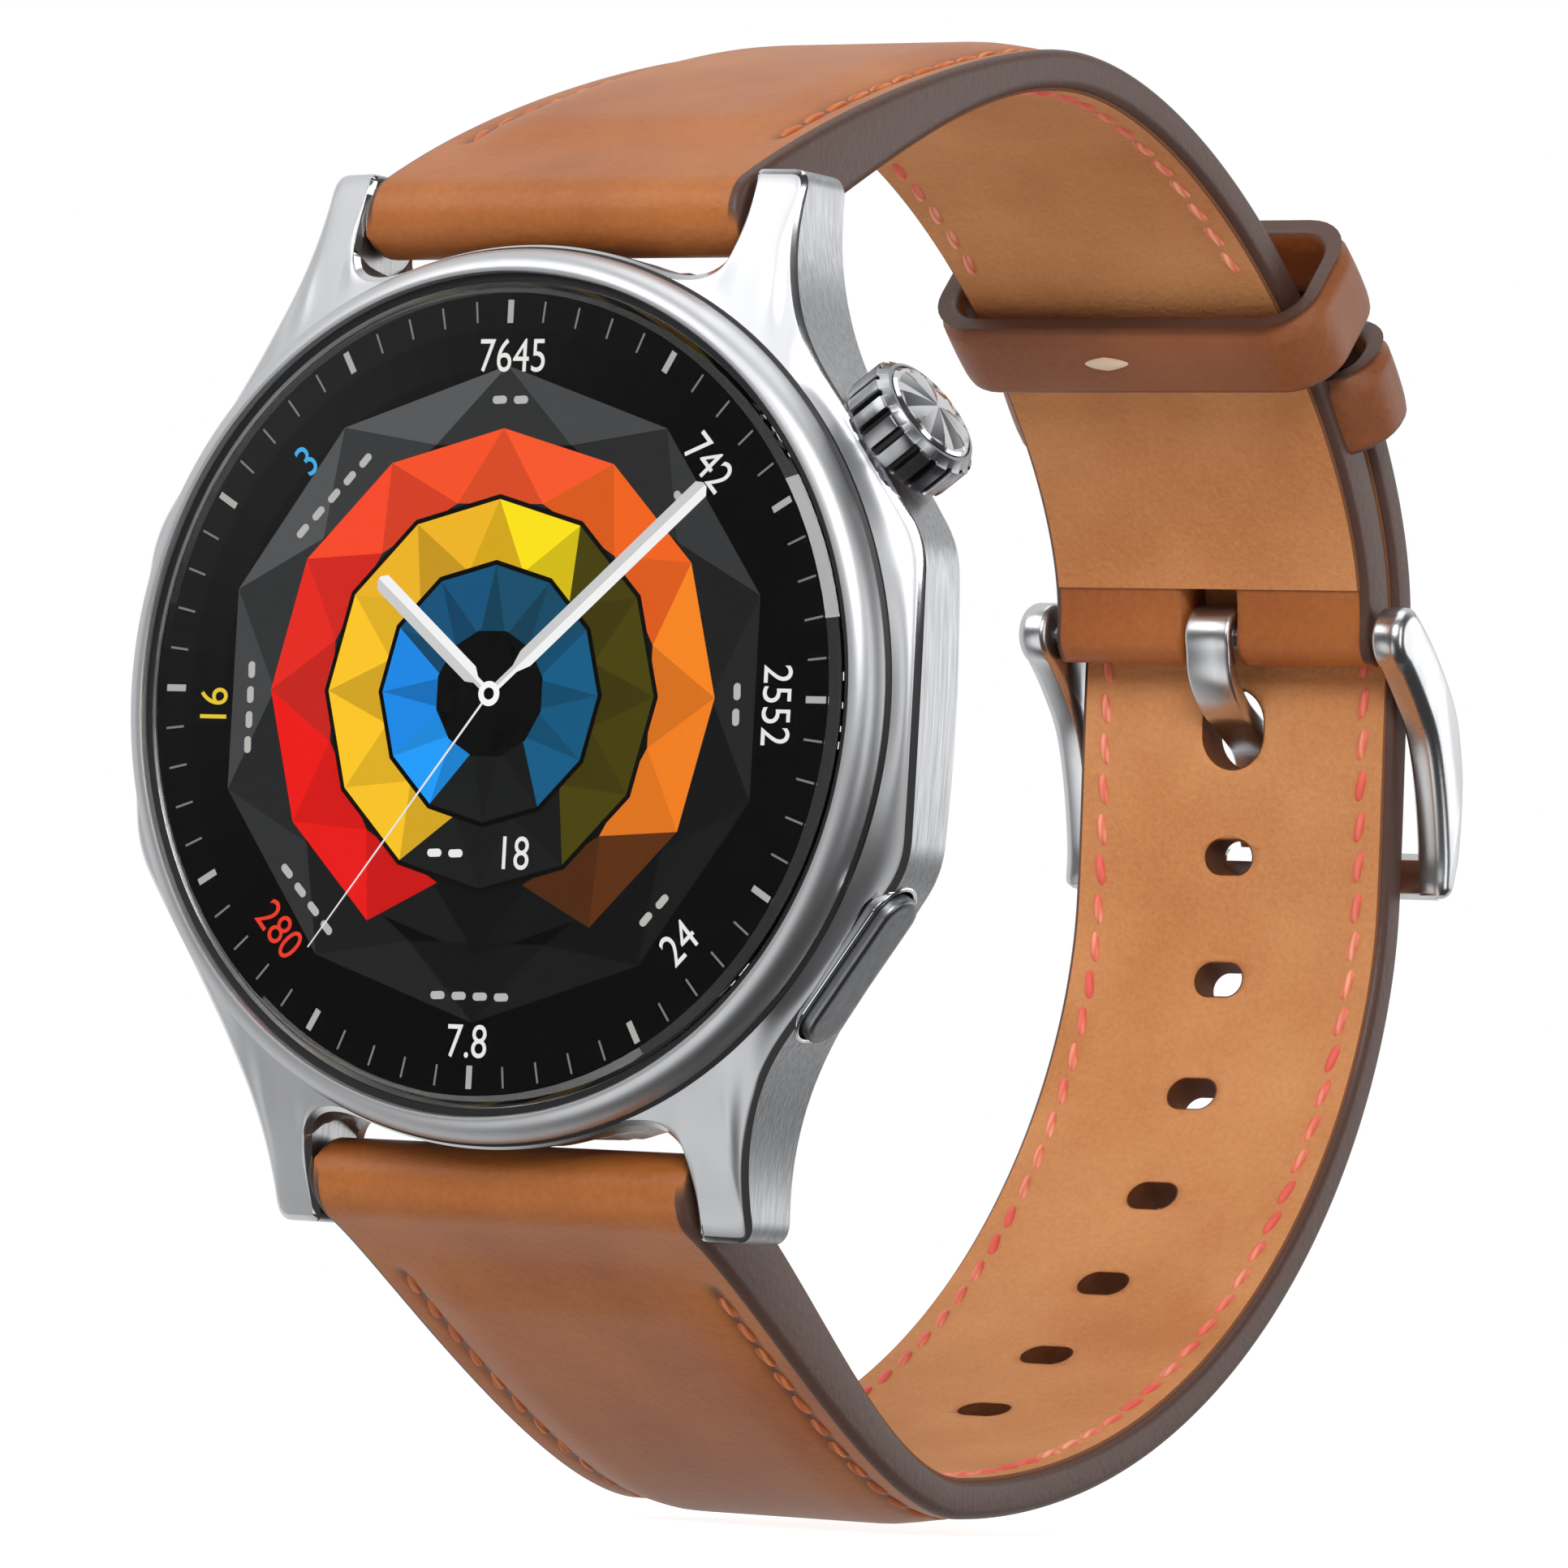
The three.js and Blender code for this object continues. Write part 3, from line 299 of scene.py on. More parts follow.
satin_steel = metal("satin_steel", (212, 213, 215), (196, 197, 200), (300, 300, 60), 0.36, 0.46, 0.05)
brushed_steel = metal("brushed_steel", (205, 206, 208), (150, 152, 155), (6000, 6000, 220), 0.24, 0.42, 0.35)
polished_steel = metal("polished_steel", (228, 229, 231), (214, 215, 218), (400, 400, 400), 0.06, 0.13, 0.02)


def bend(*corners, count=12):
    """A Bezier curve through its first and last corner: the sum of binomial(n, k) (1 - t)^(n - k) t^k corner k."""
    t = np.linspace(0, 1, count)[:, None]
    n = len(corners) - 1
    return sum(math.comb(n, k) * (1 - t) ** (n - k) * t ** k * np.array(corner, float)
               for k, corner in enumerate(corners))


def case_outline():
    """The case seen from the front, as X, Z corners: one quarter, from the side flat round the lug to the top,
    mirrored. Beside them, the angle of each one's point on the seam, and the depth of the case's rear edge there."""
    flat_z = np.linspace(0, 6.6, 12)
    runs = [
        np.stack([23.15 - 0.22 * (flat_z / 6.6) ** 2, flat_z], axis=1),
        bend((22.93, 6.6), (22.82, 8.03), (21.9, 9.29)),
        bend((21.9, 9.29), (17.2, 15.77), count=14),
        bend((17.2, 15.77), (16.0, 17.43), (14.1, 20.5), (14.1, 25.2), count=28),
        bend((14.1, 25.2), (14.1, 26.3), (13.2, 26.3), count=8),
        bend((13.2, 26.3), (11.6, 26.3), count=4),
        bend((11.6, 26.3), (LUG_INNER_X, 26.3), (LUG_INNER_X, 25.9), count=5),
        bend((LUG_INNER_X, 25.9), (LUG_INNER_X, 23.2), count=8),
        bend((LUG_INNER_X, 23.2), (11.2, 19.9), (7.2, 21.16), count=20),
    ]
    top = np.radians(np.linspace(71.2, 90, 16))
    runs.append((SEAM_R + 0.25) * np.stack([np.cos(top), np.sin(top)], axis=1))
    seam_angles = [0, 16.05, 23, 42, 53.5, 55.5, 57.3, 58, 61.5, 71.2, 90]
    rear_depths = [6.6, 6.6, 6.65, 7.05, 8.4, 8.2, 8.1, 8.1, 8.2, 6.9, 6.7]
    points, angles, rear = [], [], []
    for k, run in enumerate(runs):
        steps = np.linspace(0, 1, len(run))
        keep = slice(None) if k == len(runs) - 1 else slice(0, -1)
        points.append(run[keep])
        angles.append(np.interp(steps, [0, 1], seam_angles[k:k + 2])[keep])
        rear.append(np.interp(steps, [0, 1], rear_depths[k:k + 2])[keep])
    points, angles, rear = np.concatenate(points), np.concatenate(angles), np.concatenate(rear)
    turned = [(1, 1, 1, 0), (-1, 1, -1, 180), (-1, -1, 1, 180), (1, -1, -1, 360)]
    parts = []
    for x_sign, z_sign, order, start in turned:
        part = np.column_stack([points * (x_sign, z_sign), start + order * angles, rear])
        parts.append(part[::order][:-1])
    whole = np.concatenate(parts)
    return whole[:, :2], np.radians(whole[:, 2]), whole[:, 3]


def smooth_step(values, low, high):
    t = np.clip((values - low) / (high - low), 0, 1)
    return t * t * (3 - 2 * t)


def case_rings():
    """Rings of X, depth, Z from the seam over the front, the chamfer, the side band and the rear to the tub, and back
    up inside. The front is a cone about the dial, depth = 1.72 + 0.4 (radius - seam radius), hollow at the sides."""
    edge, angle, rear = case_outline()
    ahead = np.roll(edge, -1, axis=0) - np.roll(edge, 1, axis=0)
    out = np.stack([ahead[:, 1], -ahead[:, 0]], axis=1) / np.linalg.norm(ahead, axis=1)[:, None]
    round_dial = np.stack([np.cos(angle), np.sin(angle)], axis=1)
    side = 1 - smooth_step(np.abs(edge[:, 1]), 12.5, 19)
    bulge = smooth_step(np.abs(edge[:, 1]), 20, 24)

    def cone(place):
        return 1.72 + 0.4 * (np.linalg.norm(place, axis=1) - SEAM_R)

    shoulder = edge - CASE_CHAMFER * out
    rings = [(21.7 * round_dial, np.full(len(edge), 1.75)), (21.85 * round_dial, np.full(len(edge), 2.3)),
             (22.08 * round_dial, np.full(len(edge), 2.3)), (22.14 * round_dial, np.full(len(edge), 1.95))]
    start = 22.2 * round_dial
    for v in np.linspace(0, 1, 13):
        place = (1 - v) * start + v * shoulder
        hollow = side * (0.62 * v + 0.22 * math.sin(math.pi * v))
        rings.append((place, cone(place) + 0.06 + hollow - 0.18 * bulge * math.sin(math.pi * v) ** 2))
    front_depth = rings[-1][1]
    rings.append((edge, front_depth + CASE_CHAMFER))
    for v in np.linspace(0.12, 1, 8):
        rings.append((edge, (1 - v) * (front_depth + CASE_CHAMFER) + v * (rear - 0.2)))
    rings.append((edge - 0.2 * out, rear))
    for v in np.linspace(0.15, 1, 6):
        rings.append(((1 - v) * (edge - 0.2 * out) + v * 21.7 * round_dial, (1 - v) * rear + v * 6.95))
    for radius, depth in ((21.5, 7.3), (20.75, 9.5), (20.5, 9.75), (19.9, 9.75), (19.3, 9.6), (19.3, 2.6),
                          (19.6, 1.75)):
        rings.append((radius * round_dial, np.full(len(edge), depth)))
    place = np.stack([ring[0] for ring in rings])
    depth = np.stack([ring[1] for ring in rings])
    scooped = BAR_Z - np.sqrt(np.clip(SCOOP_R ** 2 - (depth - BAR_DEPTH) ** 2, 0, None))
    between_lugs = np.abs(place[..., 0]) < LUG_INNER_X - 0.02
    z = np.where(between_lugs, np.sign(place[..., 1]) * np.minimum(np.abs(place[..., 1]), scooped), place[..., 1])
    return np.stack([place[..., 0], FRONT_Y + depth, z], axis=-1)


def along_axis(centre, axis, radii, heights, count=48):
    """Rings about an axis: centre + height * axis + radius (cos a * first + sin a * second)."""
    axis = np.array(axis, float)
    first = np.cross(axis, (0.0, 1.0, 0.0))
    first = first / np.linalg.norm(first) if np.linalg.norm(first) > 1e-6 else np.array([1.0, 0, 0])
    second = np.cross(axis, first)
    a = np.linspace(0, 2 * np.pi, count, endpoint=False)
    circle = np.cos(a)[:, None] * first + np.sin(a)[:, None] * second
    return np.array(centre) + np.asarray(heights)[:, None, None] * axis + np.asarray(radii)[:, None, None] * circle


FACET_OUT = 0.80961
FACET_UP = 0.58697
CROWN_SEAT = (19.5, FRONT_Y + 4.6, 12.6)
CROWN_AXIS = (FACET_OUT, 0, FACET_UP)
BUTTON_SEAT = (19.5, FRONT_Y + 4.3, -12.6)
BUTTON_AXIS = (FACET_OUT, 0, -FACET_UP)
BUTTON_ALONG = (FACET_UP, 0, FACET_OUT)


def pill_rings(length, width, insets, heights, count=64):
    """Rings of a stadium on the button's facet: a straight run and half circles, shrunk by each inset."""
    a = np.linspace(0, 2 * np.pi, count, endpoint=False)
    straight = (length - width) / 2 * np.sign(np.cos(a))
    radius = width / 2 - np.asarray(insets)[:, None]
    along, across = straight + radius * np.cos(a), radius * np.sin(a)
    return (np.array(BUTTON_SEAT) + along[..., None] * np.array(BUTTON_ALONG)
            + across[..., None] * np.array((0, 1, 0)) + np.asarray(heights)[:, None, None] * np.array(BUTTON_AXIS))


mid_case_rings = case_rings()
case_faces = quads(*mid_case_rings.shape[:2], True, True)
mid_case = solid("case_middle", mid_case_rings, case_faces, satin_steel, sharp=28)
mid_case.data.materials.append(brushed_steel)
mid_case.data.materials.append(polished_steel)
CHAMFER_ROW = 16
BAND_ROWS = range(17, 26)
face_rows = np.arange(len(case_faces)) // mid_case_rings.shape[1]
side_slots = np.where(np.isin(face_rows, BAND_ROWS), 1, np.where(face_rows == CHAMFER_ROW, 2, 0))
mid_case.data.polygons.foreach_set("material_index", side_slots.astype(np.int32))
carve(mid_case,
      loft("crown_bore", along_axis(CROWN_SEAT, CROWN_AXIS, (1.45, 1.45), (-5.0, 1.0)), satin_steel),
      loft("button_pocket", pill_rings(9.1, 3.2, (0, 0), (-1.35, 1.0)), satin_steel))
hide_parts("mid_case")
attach(mid_case, "case")

# ------------------------------------------------------------------ bezel and cover glass
# The bezel is a turned ring of satin steel with a domed slope, bonded over the case's seam. Inside it, behind a thin
# black gap, sits a flat disc of clear glass with a ground bevel round its rim.

BEZEL_INNER_R = 20.8
GLASS_R = 20.35
GLASS_BEVEL = 0.4


def turned(profile, count=192):
    """Rings about the dial's axis through [radius, depth] corners."""
    a = np.linspace(0, 2 * np.pi, count, endpoint=False)
    radius, depth = np.array(profile, float).T
    return np.stack([radius[:, None] * np.cos(a), np.repeat((FRONT_Y + depth)[:, None], count, axis=1),
                     radius[:, None] * np.sin(a)], axis=-1)


def turned_ring(name, profile, material, count=192, sharp=30):
    """A turned solid with a bore: the profile closes on itself."""
    rings = turned(profile, count)
    return solid(name, rings, quads(*rings.shape[:2], True, True), material, sharp=sharp)


slope = bend((21.02, 0.02), (21.62, 0.12), (22.02, 0.72), (22.1, 1.42), count=16)
bezel = turned_ring("bezel", [(BEZEL_INNER_R, 1.6), (BEZEL_INNER_R, 0.14), (20.88, 0.04), *slope.tolist(),
                              (22.04, 1.6)], satin_steel, count=256, sharp=40)
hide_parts("bezel_ring")
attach(bezel, "case")

clear_glass, glass_tree, glass_bsdf = shader("clear_glass", Base_Color=(1, 1, 1, 1), Transmission_Weight=1, IOR=1.45,
                                             Specular_IOR_Level=0.3)
glass_smudges = add(glass_tree, "TexNoise", [("Scale", 90)])
glass_place = add(glass_tree, "TexCoord")
glass_gloss = add(glass_tree, "MapRange", [("To Min", 0.0), ("To Max", 0.012)])
join(glass_tree, (glass_place, "Object", glass_smudges, "Vector"),
     (glass_smudges, "Fac", glass_gloss, "Value"),
     (glass_gloss, "Result", glass_bsdf, "Roughness"))
glass = loft("glass", turned([(19.8, 0), (GLASS_R, GLASS_BEVEL), (GLASS_R, GLASS_BEVEL + 0.1),
                              (20.0, GLASS_BEVEL + 0.12)]), clear_glass)
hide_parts("cover_glass")
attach(glass, "case")


def matt(name, colour, spread, roughness, grain, relief, coat=0.0):
    """A plastic or rubber: a colour with fine cloudiness between two shades, and a fine relief of the given grain."""
    material, tree, bsdf = shader(name, Roughness=roughness, Coat_Weight=coat)
    place = add(tree, "TexCoord")
    noise = add(tree, "TexNoise", [("Scale", grain), ("Detail", 4)])
    shade = add(tree, "Mix", [(6, rgb(*[c * (1 - spread) for c in colour])),
                              (7, rgb(*[min(255, c * (1 + spread)) for c in colour]))], data_type="RGBA")
    bump = add(tree, "Bump", [("Strength", relief), ("Distance", RELIEF_DEPTH)])
    join(tree, (place, "Object", noise, "Vector"), (noise, "Fac", shade, "Factor"),
         (shade, 2, bsdf, "Base Color"), (noise, "Fac", bump, "Height"),
         (bump, "Normal", bsdf, "Normal"))
    return material


# Black for the glass gasket, and painted shade in the bezel's seam and in the crown's flutes.
black_gasket_and_shade = matt("black_gasket_and_shade", (9, 9, 10), 0.2, 0.5, 900, 0.05)
gap_ring = turned_ring("gap_seal", [(GLASS_R + 0.05, 0.7), (GLASS_R + 0.05, 0.5), (BEZEL_INNER_R - 0.03, 0.5),
                                    (BEZEL_INNER_R - 0.03, 0.7)], black_gasket_and_shade)
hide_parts("glass_gasket")
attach(gap_ring, "case")

# A thin black ring in the seam between bezel and case is painted shade: it stands for the seam's shadow line.
seam_shadow_ring = turned_ring("bezel_seam_shadow", [(22.0, 1.7), (22.0, 1.55), (22.22, 1.68), (22.22, 1.9)], black_gasket_and_shade,
                        count=256)
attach(seam_shadow_ring, "case")

# ------------------------------------------------------------------ display
# The display is a round panel bonded to the back of the glass, and it shines by itself. It shows a generic watch
# face: three rings of coloured facets on a dark faceted field, sixty ticks, plain numbers and three hands.

FACE_DEPTH = GLASS_BEVEL + 0.16
LAYER = 0.012
glow, glow_tree, glow_bsdf = shader("display_glow", Base_Color=(0.004, 0.004, 0.004, 1), Roughness=0.5,
                                    Specular_IOR_Level=0.0, Emission_Strength=1)
glow_colour = add(glow_tree, "Attribute", attribute_name="pixel_colour")
join(glow_tree, (glow_colour, "Color", glow_bsdf, "Emission Color"))


def clock(radius, degrees):
    """X and Z of a place on the dial, its angle counted clockwise from the top."""
    a = np.radians(degrees)
    return np.stack([radius * np.sin(a), radius * np.cos(a)], axis=-1)


def facets(name, polygons, layer):
    """Flat shining polygons on the dial: each is (X, Z corners listed clockwise, colour)."""
    depth = FRONT_Y + FACE_DEPTH - layer * LAYER
    points, faces, colours = [], [], []
    for corners, colour in polygons:
        faces.append(list(range(len(points), len(points) + len(corners))))
        points += [(x * MM, depth * MM, z * MM) for x, z in corners]
        colours += [rgb(*colour)] * len(corners)
    mesh = bpy.data.meshes.new(name)
    mesh.from_pydata(points, [], [face[::-1] for face in faces])
    mesh.attributes.new("pixel_colour", "FLOAT_COLOR", "POINT").data.foreach_set("color", np.ravel(colours))
    mesh.materials.append(glow)
    sheet = show(name, mesh)
    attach(sheet, "case")
    return sheet


def facet_ring(inner, outer, sides, colour_at, lean=0.5):
    """A ring of triangles: each side of the outer polygon makes one with an inner corner, and each side of the inner
    polygon makes one with an outer corner. colour_at(angle, kind) gives the colour of a triangle."""
    polygons = []
    step = 360 / sides
    for k in range(sides):
        a, b, c = k * step, (k + 1) * step, (k + lean) * step
        polygons.append(([clock(outer, a), clock(outer, b), clock(inner, c)], colour_at(c, 0)))
        polygons.append(([clock(inner, c - step), clock(outer, a), clock(inner, c)], colour_at(a, 1)))
    return polygons


def band_colour(stops, dim=0.9):
    """Colours by clockwise angle from stops of (end angle, colour), with every other triangle a shade darker."""
    def colour_at(angle, kind):
        angle = angle % 360
        colour = next(shade for end, shade in stops if angle <= end)
        tone = (1.0, dim)[kind] * (1 + 0.03 * math.sin(angle * 0.11))
        return [min(255, c * tone) for c in colour]
    return colour_at


FIELD = (54, 55, 56)
DARK = (30, 31, 31)
outer_band = band_colour([(22, (252, 88, 44)), (62, (255, 106, 32)), (132, (255, 134, 34)), (152, (92, 48, 16)),
                          (203, DARK), (258, (240, 26, 22)), (312, (236, 44, 34)), (340, (255, 76, 44)),
                          (361, (250, 84, 42))], 0.88)
middle_band = band_colour([(14, (250, 196, 34)), (40, (250, 222, 26)), (148, (74, 68, 14)), (205, DARK),
                           (300, (255, 200, 42)), (361, (240, 182, 40))], 0.86)
inner_band = band_colour([(45, (26, 78, 106)), (140, (24, 92, 132)), (208, DARK), (250, (36, 160, 255)),
                          (285, (30, 138, 232)), (361, (24, 84, 124))], 0.84)


def field_colour_and_sheen(strength):
    """The dark facets fade from grey at the upper left to near black at the lower right: painted light, lighter where
    the light comes from. Every other facet being a shade darker is the face's own pattern.
    """
    def colour_at(angle, kind):
        lit = 0.5 + 0.5 * math.cos(math.radians(angle + 42))
        tone = strength * (0.42 + 1.15 * lit) * (1.0, 0.66)[kind] * (1 + 0.12 * math.sin(angle * 0.37))
        return [c * tone for c in FIELD]
    return colour_at


def screen_black_and_sheen(r, angle):
    """The screen's black, with painted sheen: a little lighter towards the upper left, where the light comes from: 2
    + 38 lit^1.6.
    """
    lit = max(0.0, (r / 20) * math.cos(math.radians(angle + 42)))
    return [2 + 38 * lit ** 1.6] * 3


face_polygons = [([clock(r, a), clock(r, a + 6), clock(r - 2, a + 6), clock(r - 2, a)], screen_black_and_sheen(r - 1, a + 3))
                 for r in range(20, 0, -2) for a in range(0, 360, 6)]
panel = facets("display_face", face_polygons, 0)
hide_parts("display_panel")
facets("dial_field", facet_ring(12.9, 16.2, 10, field_colour_and_sheen(1.0)) + facet_ring(9.6, 12.9, 10, field_colour_and_sheen(0.75)), 1)
facets("dial_outer_ring", [p for p in facet_ring(9.7, 13.1, 12, outer_band) if p[1][0] > 60], 2)
ring_polygons = [([clock(outline_r, k * 30) for k in range(12)], (8, 7, 5)) for outline_r in (9.85, 6.6)]
facets("dial_outlines", ring_polygons[:1], 3)
facets("dial_middle_ring", facet_ring(6.2, 9.6, 12, middle_band), 4)
facets("dial_inner_outline", ring_polygons[1:2], 5)
facets("dial_inner_ring", facet_ring(2.9, 6.35, 12, inner_band), 6)
facets("dial_centre", [([clock(3.2, k * 30 + 15) for k in range(12)], (12, 12, 13)),
                       ([clock(3.1, 0), clock(3.1, 60), clock(1.0, 30)], (20, 20, 21)),
                       ([clock(3.1, 120), clock(3.1, 180), clock(1.0, 150)], (18, 18, 20)),
                       ([clock(3.1, 240), clock(3.1, 300), clock(1.0, 270)], (22, 22, 23))], 7)

TICK_OUTER_R = 19.45
tick_polygons = []
for k in range(60):
    hour = k % 5 == 0
    length, half = (1.15, 0.17) if hour else (1.05, 0.055)
    at = clock(1.0, k * 6)
    side = np.array([at[1], -at[0]]) * half
    tick = [at * TICK_OUTER_R - side, at * TICK_OUTER_R + side,
            at * (TICK_OUTER_R - length) + side, at * (TICK_OUTER_R - length) - side]
    tick_polygons.append((tick, (176, 176, 172) if hour else (128, 128, 124)))
facets("dial_ticks", tick_polygons, 1)


def spin(turn):
    """The matrix that turns rows of X, Z clockwise by a number of degrees."""
    t = math.radians(turn)
    return np.array([[math.cos(t), -math.sin(t)], [math.sin(t), math.cos(t)]])


def bar(x, z, length, width, turn, colour):
    """A small rounded bar that stands for a label: a stadium outline, turned clockwise."""
    a = np.radians(np.arange(0, 360, 30))
    local = np.stack([(length - width) / 2 * np.sign(np.cos(a)) + width / 2 * np.cos(a), width / 2 * np.sin(a)],
                     axis=1)
    return ((local @ spin(turn) + (x, z))[::-1], colour)


WHITE = (235, 235, 232)
readings = (("7645", 0.3, 16.6, 0, WHITE), ("742", 12.0, 11.4, 47, WHITE), ("2552", 16.6, -0.3, 90, WHITE),
            ("24", 11.9, -12.0, -45, WHITE), ("7.8", -0.2, -17.2, 0, WHITE), ("280", -11.8, -12.0, 47, (235, 62, 44)),
            ("16", -16.4, -0.9, -90, (232, 200, 58)), ("3", -11.6, 11.4, -45, (70, 176, 235)),
            ("18", 1.9, -7.9, 0, WHITE))
number_polygons = []
for text, x, z, turn, colour in readings:
    curve = bpy.data.curves.new("reading", "FONT")
    curve.body = text
    curve.size = 2.35
    curve.align_x, curve.align_y = "CENTER", "CENTER"
    curve.resolution_u = 6
    holder = show("reading", curve)
    bpy.context.view_layer.update()
    flat = bpy.data.meshes.new_from_object(holder.evaluated_get(bpy.context.evaluated_depsgraph_get()))
    places = np.array([v.co[:2] for v in flat.vertices]) * (0.86, 1.0) @ spin(turn) + (x, z)
    number_polygons += [([places[i] for i in reversed(face.vertices)], colour) for face in flat.polygons]
    bpy.data.objects.remove(holder)
facets("dial_numbers", number_polygons, 8)
LABEL = (184, 184, 180)
LABEL_STEP = 1.25
label_rows = ((0.3, 14.5, 2, 0, LABEL), (10.5, 9.7, 1, 47, LABEL), (14.4, -0.3, 2, 90, LABEL),
              (10.3, -10.4, 2, -45, LABEL), (-0.2, -14.9, 4, 0, LABEL), (-10.2, -10.4, 4, 47, LABEL),
              (-14.3, -0.9, 4, 90, LABEL), (-9.9, 9.7, 5, -45, LABEL), (-2.1, -7.9, 2, 0, WHITE))
label_bars = [bar(x + (k - (count - 1) / 2) * LABEL_STEP * math.cos(math.radians(turn)),
                  z - (k - (count - 1) / 2) * LABEL_STEP * math.sin(math.radians(turn)), 0.85, 0.42, turn, colour)
              for x, z, count, turn, colour in label_rows for k in range(count)]
facets("dial_labels", label_bars, 8)


def hand(length, turn, neck, body, tip, shade):
    """A baton hand: a thin neck, a body that widens at a tenth of its length, and a short point, as two halves."""
    along, wide = [0.5, 0.12 * length, 0.17 * length, length - tip, length], [neck, neck, body, body, body * 0.3]
    polygons = []
    for side, colour in ((1, (246, 246, 246)), (-1, shade)):
        outline = [(0, along[0])] + [(side * w, s) for w, s in zip(wide, along)] + [(0, along[-1])]
        corners = np.array(outline) @ spin(turn)
        polygons.append((corners if side < 0 else corners[::-1], colour))
    return polygons


facets("hour_hand", hand(8.9, -51, 0.2, 0.48, 0.3, (206, 206, 206)), 9)
facets("minute_hand", hand(15.8, 49, 0.2, 0.48, 0.3, (206, 206, 206)), 10)
facets("second_hand", [([clock(0.5, 218) + clock(0.06, 128), clock(0.5, 218) - clock(0.06, 128),
                         clock(16.2, 218) - clock(0.035, 128), clock(16.2, 218) + clock(0.035, 128)], WHITE)], 11)
hub_turns = np.linspace(0, 360, 32, endpoint=False)
facets("hand_hub", [([clock(0.62, a) for a in hub_turns], (250, 250, 250))], 12)
facets("hand_hub_eye", [([clock(0.3, a) for a in hub_turns], (10, 10, 12))], 13)

# ------------------------------------------------------------------ rear cover and sensor window
# The rear cover is a black composite plate with a raised, polished sensor window in its middle. Behind the window
# stand small lamps and light sensors, and two thin metal arcs on it touch the skin.

black_plastic = matt("black_plastic", (26, 27, 29), 0.12, 0.5, 1500, 0.2)
black_glass = matt("black_glass", (13, 13, 15), 0.2, 0.06, 60, 0.0, coat=1.0)
CASE_DEPTH = 10.7
cover = turned_ring("rear_plate", [(20.55, 9.8), (20.6, 10.0), (20.3, 10.5), (19.8, CASE_DEPTH), (13.6, CASE_DEPTH),
                                   (13.25, 10.6), (13.15, 9.8)], black_plastic)
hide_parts("rear_cover")
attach(cover, "case")
window_dome = bend((13.0, 10.55), (12.9, 11.35), (11.0, 11.55), (10.2, 11.6), count=14)
window = loft("window", turned([(13.0, 9.9), *window_dome.tolist(), (4.0, 11.6)]), black_glass)
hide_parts("sensor_window")
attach(window, "case")


def arc_plate(name, radius, width, start, end, front, back, material):
    """A thin plate along an arc of the dial's axis: a rectangle of width by thickness carried round the arc."""
    a = np.radians(np.linspace(start, end, 48))[:, None]
    r = radius + np.array([-0.5, 0.5, 0.5, -0.5]) * width
    y = FRONT_Y + np.array([front, front, back, back])
    rings = np.stack([r * np.cos(a), np.broadcast_to(y, (48, 4)), r * np.sin(a)], axis=-1)
    return loft(name, rings, material)


for label, start in (("contact_arc_left", 105), ("contact_arc_right", -75)):
    contact = arc_plate(label, 9.2, 1.3, start, start + 150, 11.5, 11.615, polished_steel)
    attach(contact, "case")
lamp_glass = matt("lamp_glass", (70, 92, 66), 0.3, 0.15, 400, 0.05, coat=0.6)
for k in range(4):
    place = clock(4.6, 45 + 90 * k)
    lamp_eye = loft(f"lamp_{k + 1}", along_axis((place[0], FRONT_Y, place[1]), (0, 1, 0), (1.1, 1.1, 0.9),
                                                (11.5, 11.608, 11.615), 32), lamp_glass)
    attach(lamp_eye, "case")
centre_eye = loft("sensor_eye", along_axis((0, FRONT_Y, 0), (0, 1, 0), (2.1, 2.1, 1.8), (11.5, 11.608, 11.615), 48),
                  matt("sensor_filter", (34, 24, 26), 0.3, 0.12, 300, 0.05, coat=0.8))
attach(centre_eye, "case")

# ------------------------------------------------------------------ crown
# The crown is a milled steel wheel with square-cut flutes; the black on the flute floors is painted shade. A polished
# bevel runs round its outer rim, and a domed cap of bright facets, like the rays of a star, closes it.

FLUTES = 18
FLUTE_POINTS = 24
CAP_RAYS = 8
crown_steel = metal("crown_steel", (184, 185, 188), (126, 128, 132), (900, 900, 900), 0.16, 0.3, 0.1)


def about_crown(radius, turn, height):
    """Points about the crown's axis: centre + height along it + radius at a turn across it."""
    axis = np.array(CROWN_AXIS)
    first = np.array((0.0, 1.0, 0.0))
    second = np.cross(axis, first)
    across = np.cos(turn)[..., None] * first + np.sin(turn)[..., None] * second
    return np.array(CROWN_SEAT) + height[..., None] * axis + radius[..., None] * across


def crown_wheel_rings():
    """Rings up the wheel. Round the rim the radius drops by 0.42 in each flute, with steep walls: the wave
    cos(flutes * turn) is sharpened by a smooth step."""
    profile = np.array([(1.2, 0.47), (3.0, 0.47), (3.36, 0.62), (3.4, 0.8), (3.4, 1.3), (3.4, 1.9), (3.4, 2.42),
                        (3.36, 2.5), (3.3, 2.52), (3.2, 2.6), (2.92, 2.95), (2.75, 2.97), (2.7, 2.8), (1.2, 2.8)])
    fluted = np.array([0, 0.4, 1, 1, 1, 1, 1, 0.9, 0.3, 0, 0, 0, 0, 0])
    turn = np.linspace(0, 2 * np.pi, FLUTES * FLUTE_POINTS, endpoint=False)
    wave = smooth_step(np.cos(FLUTES * turn), 0.35, 0.75)
    radius = profile[:, :1] - 0.42 * fluted[:, None] * wave[None, :]
    return about_crown(radius, np.broadcast_to(turn, radius.shape), np.broadcast_to(profile[:, 1:], radius.shape))


crown = loft("crown", crown_wheel_rings(), crown_steel, sharp=30)
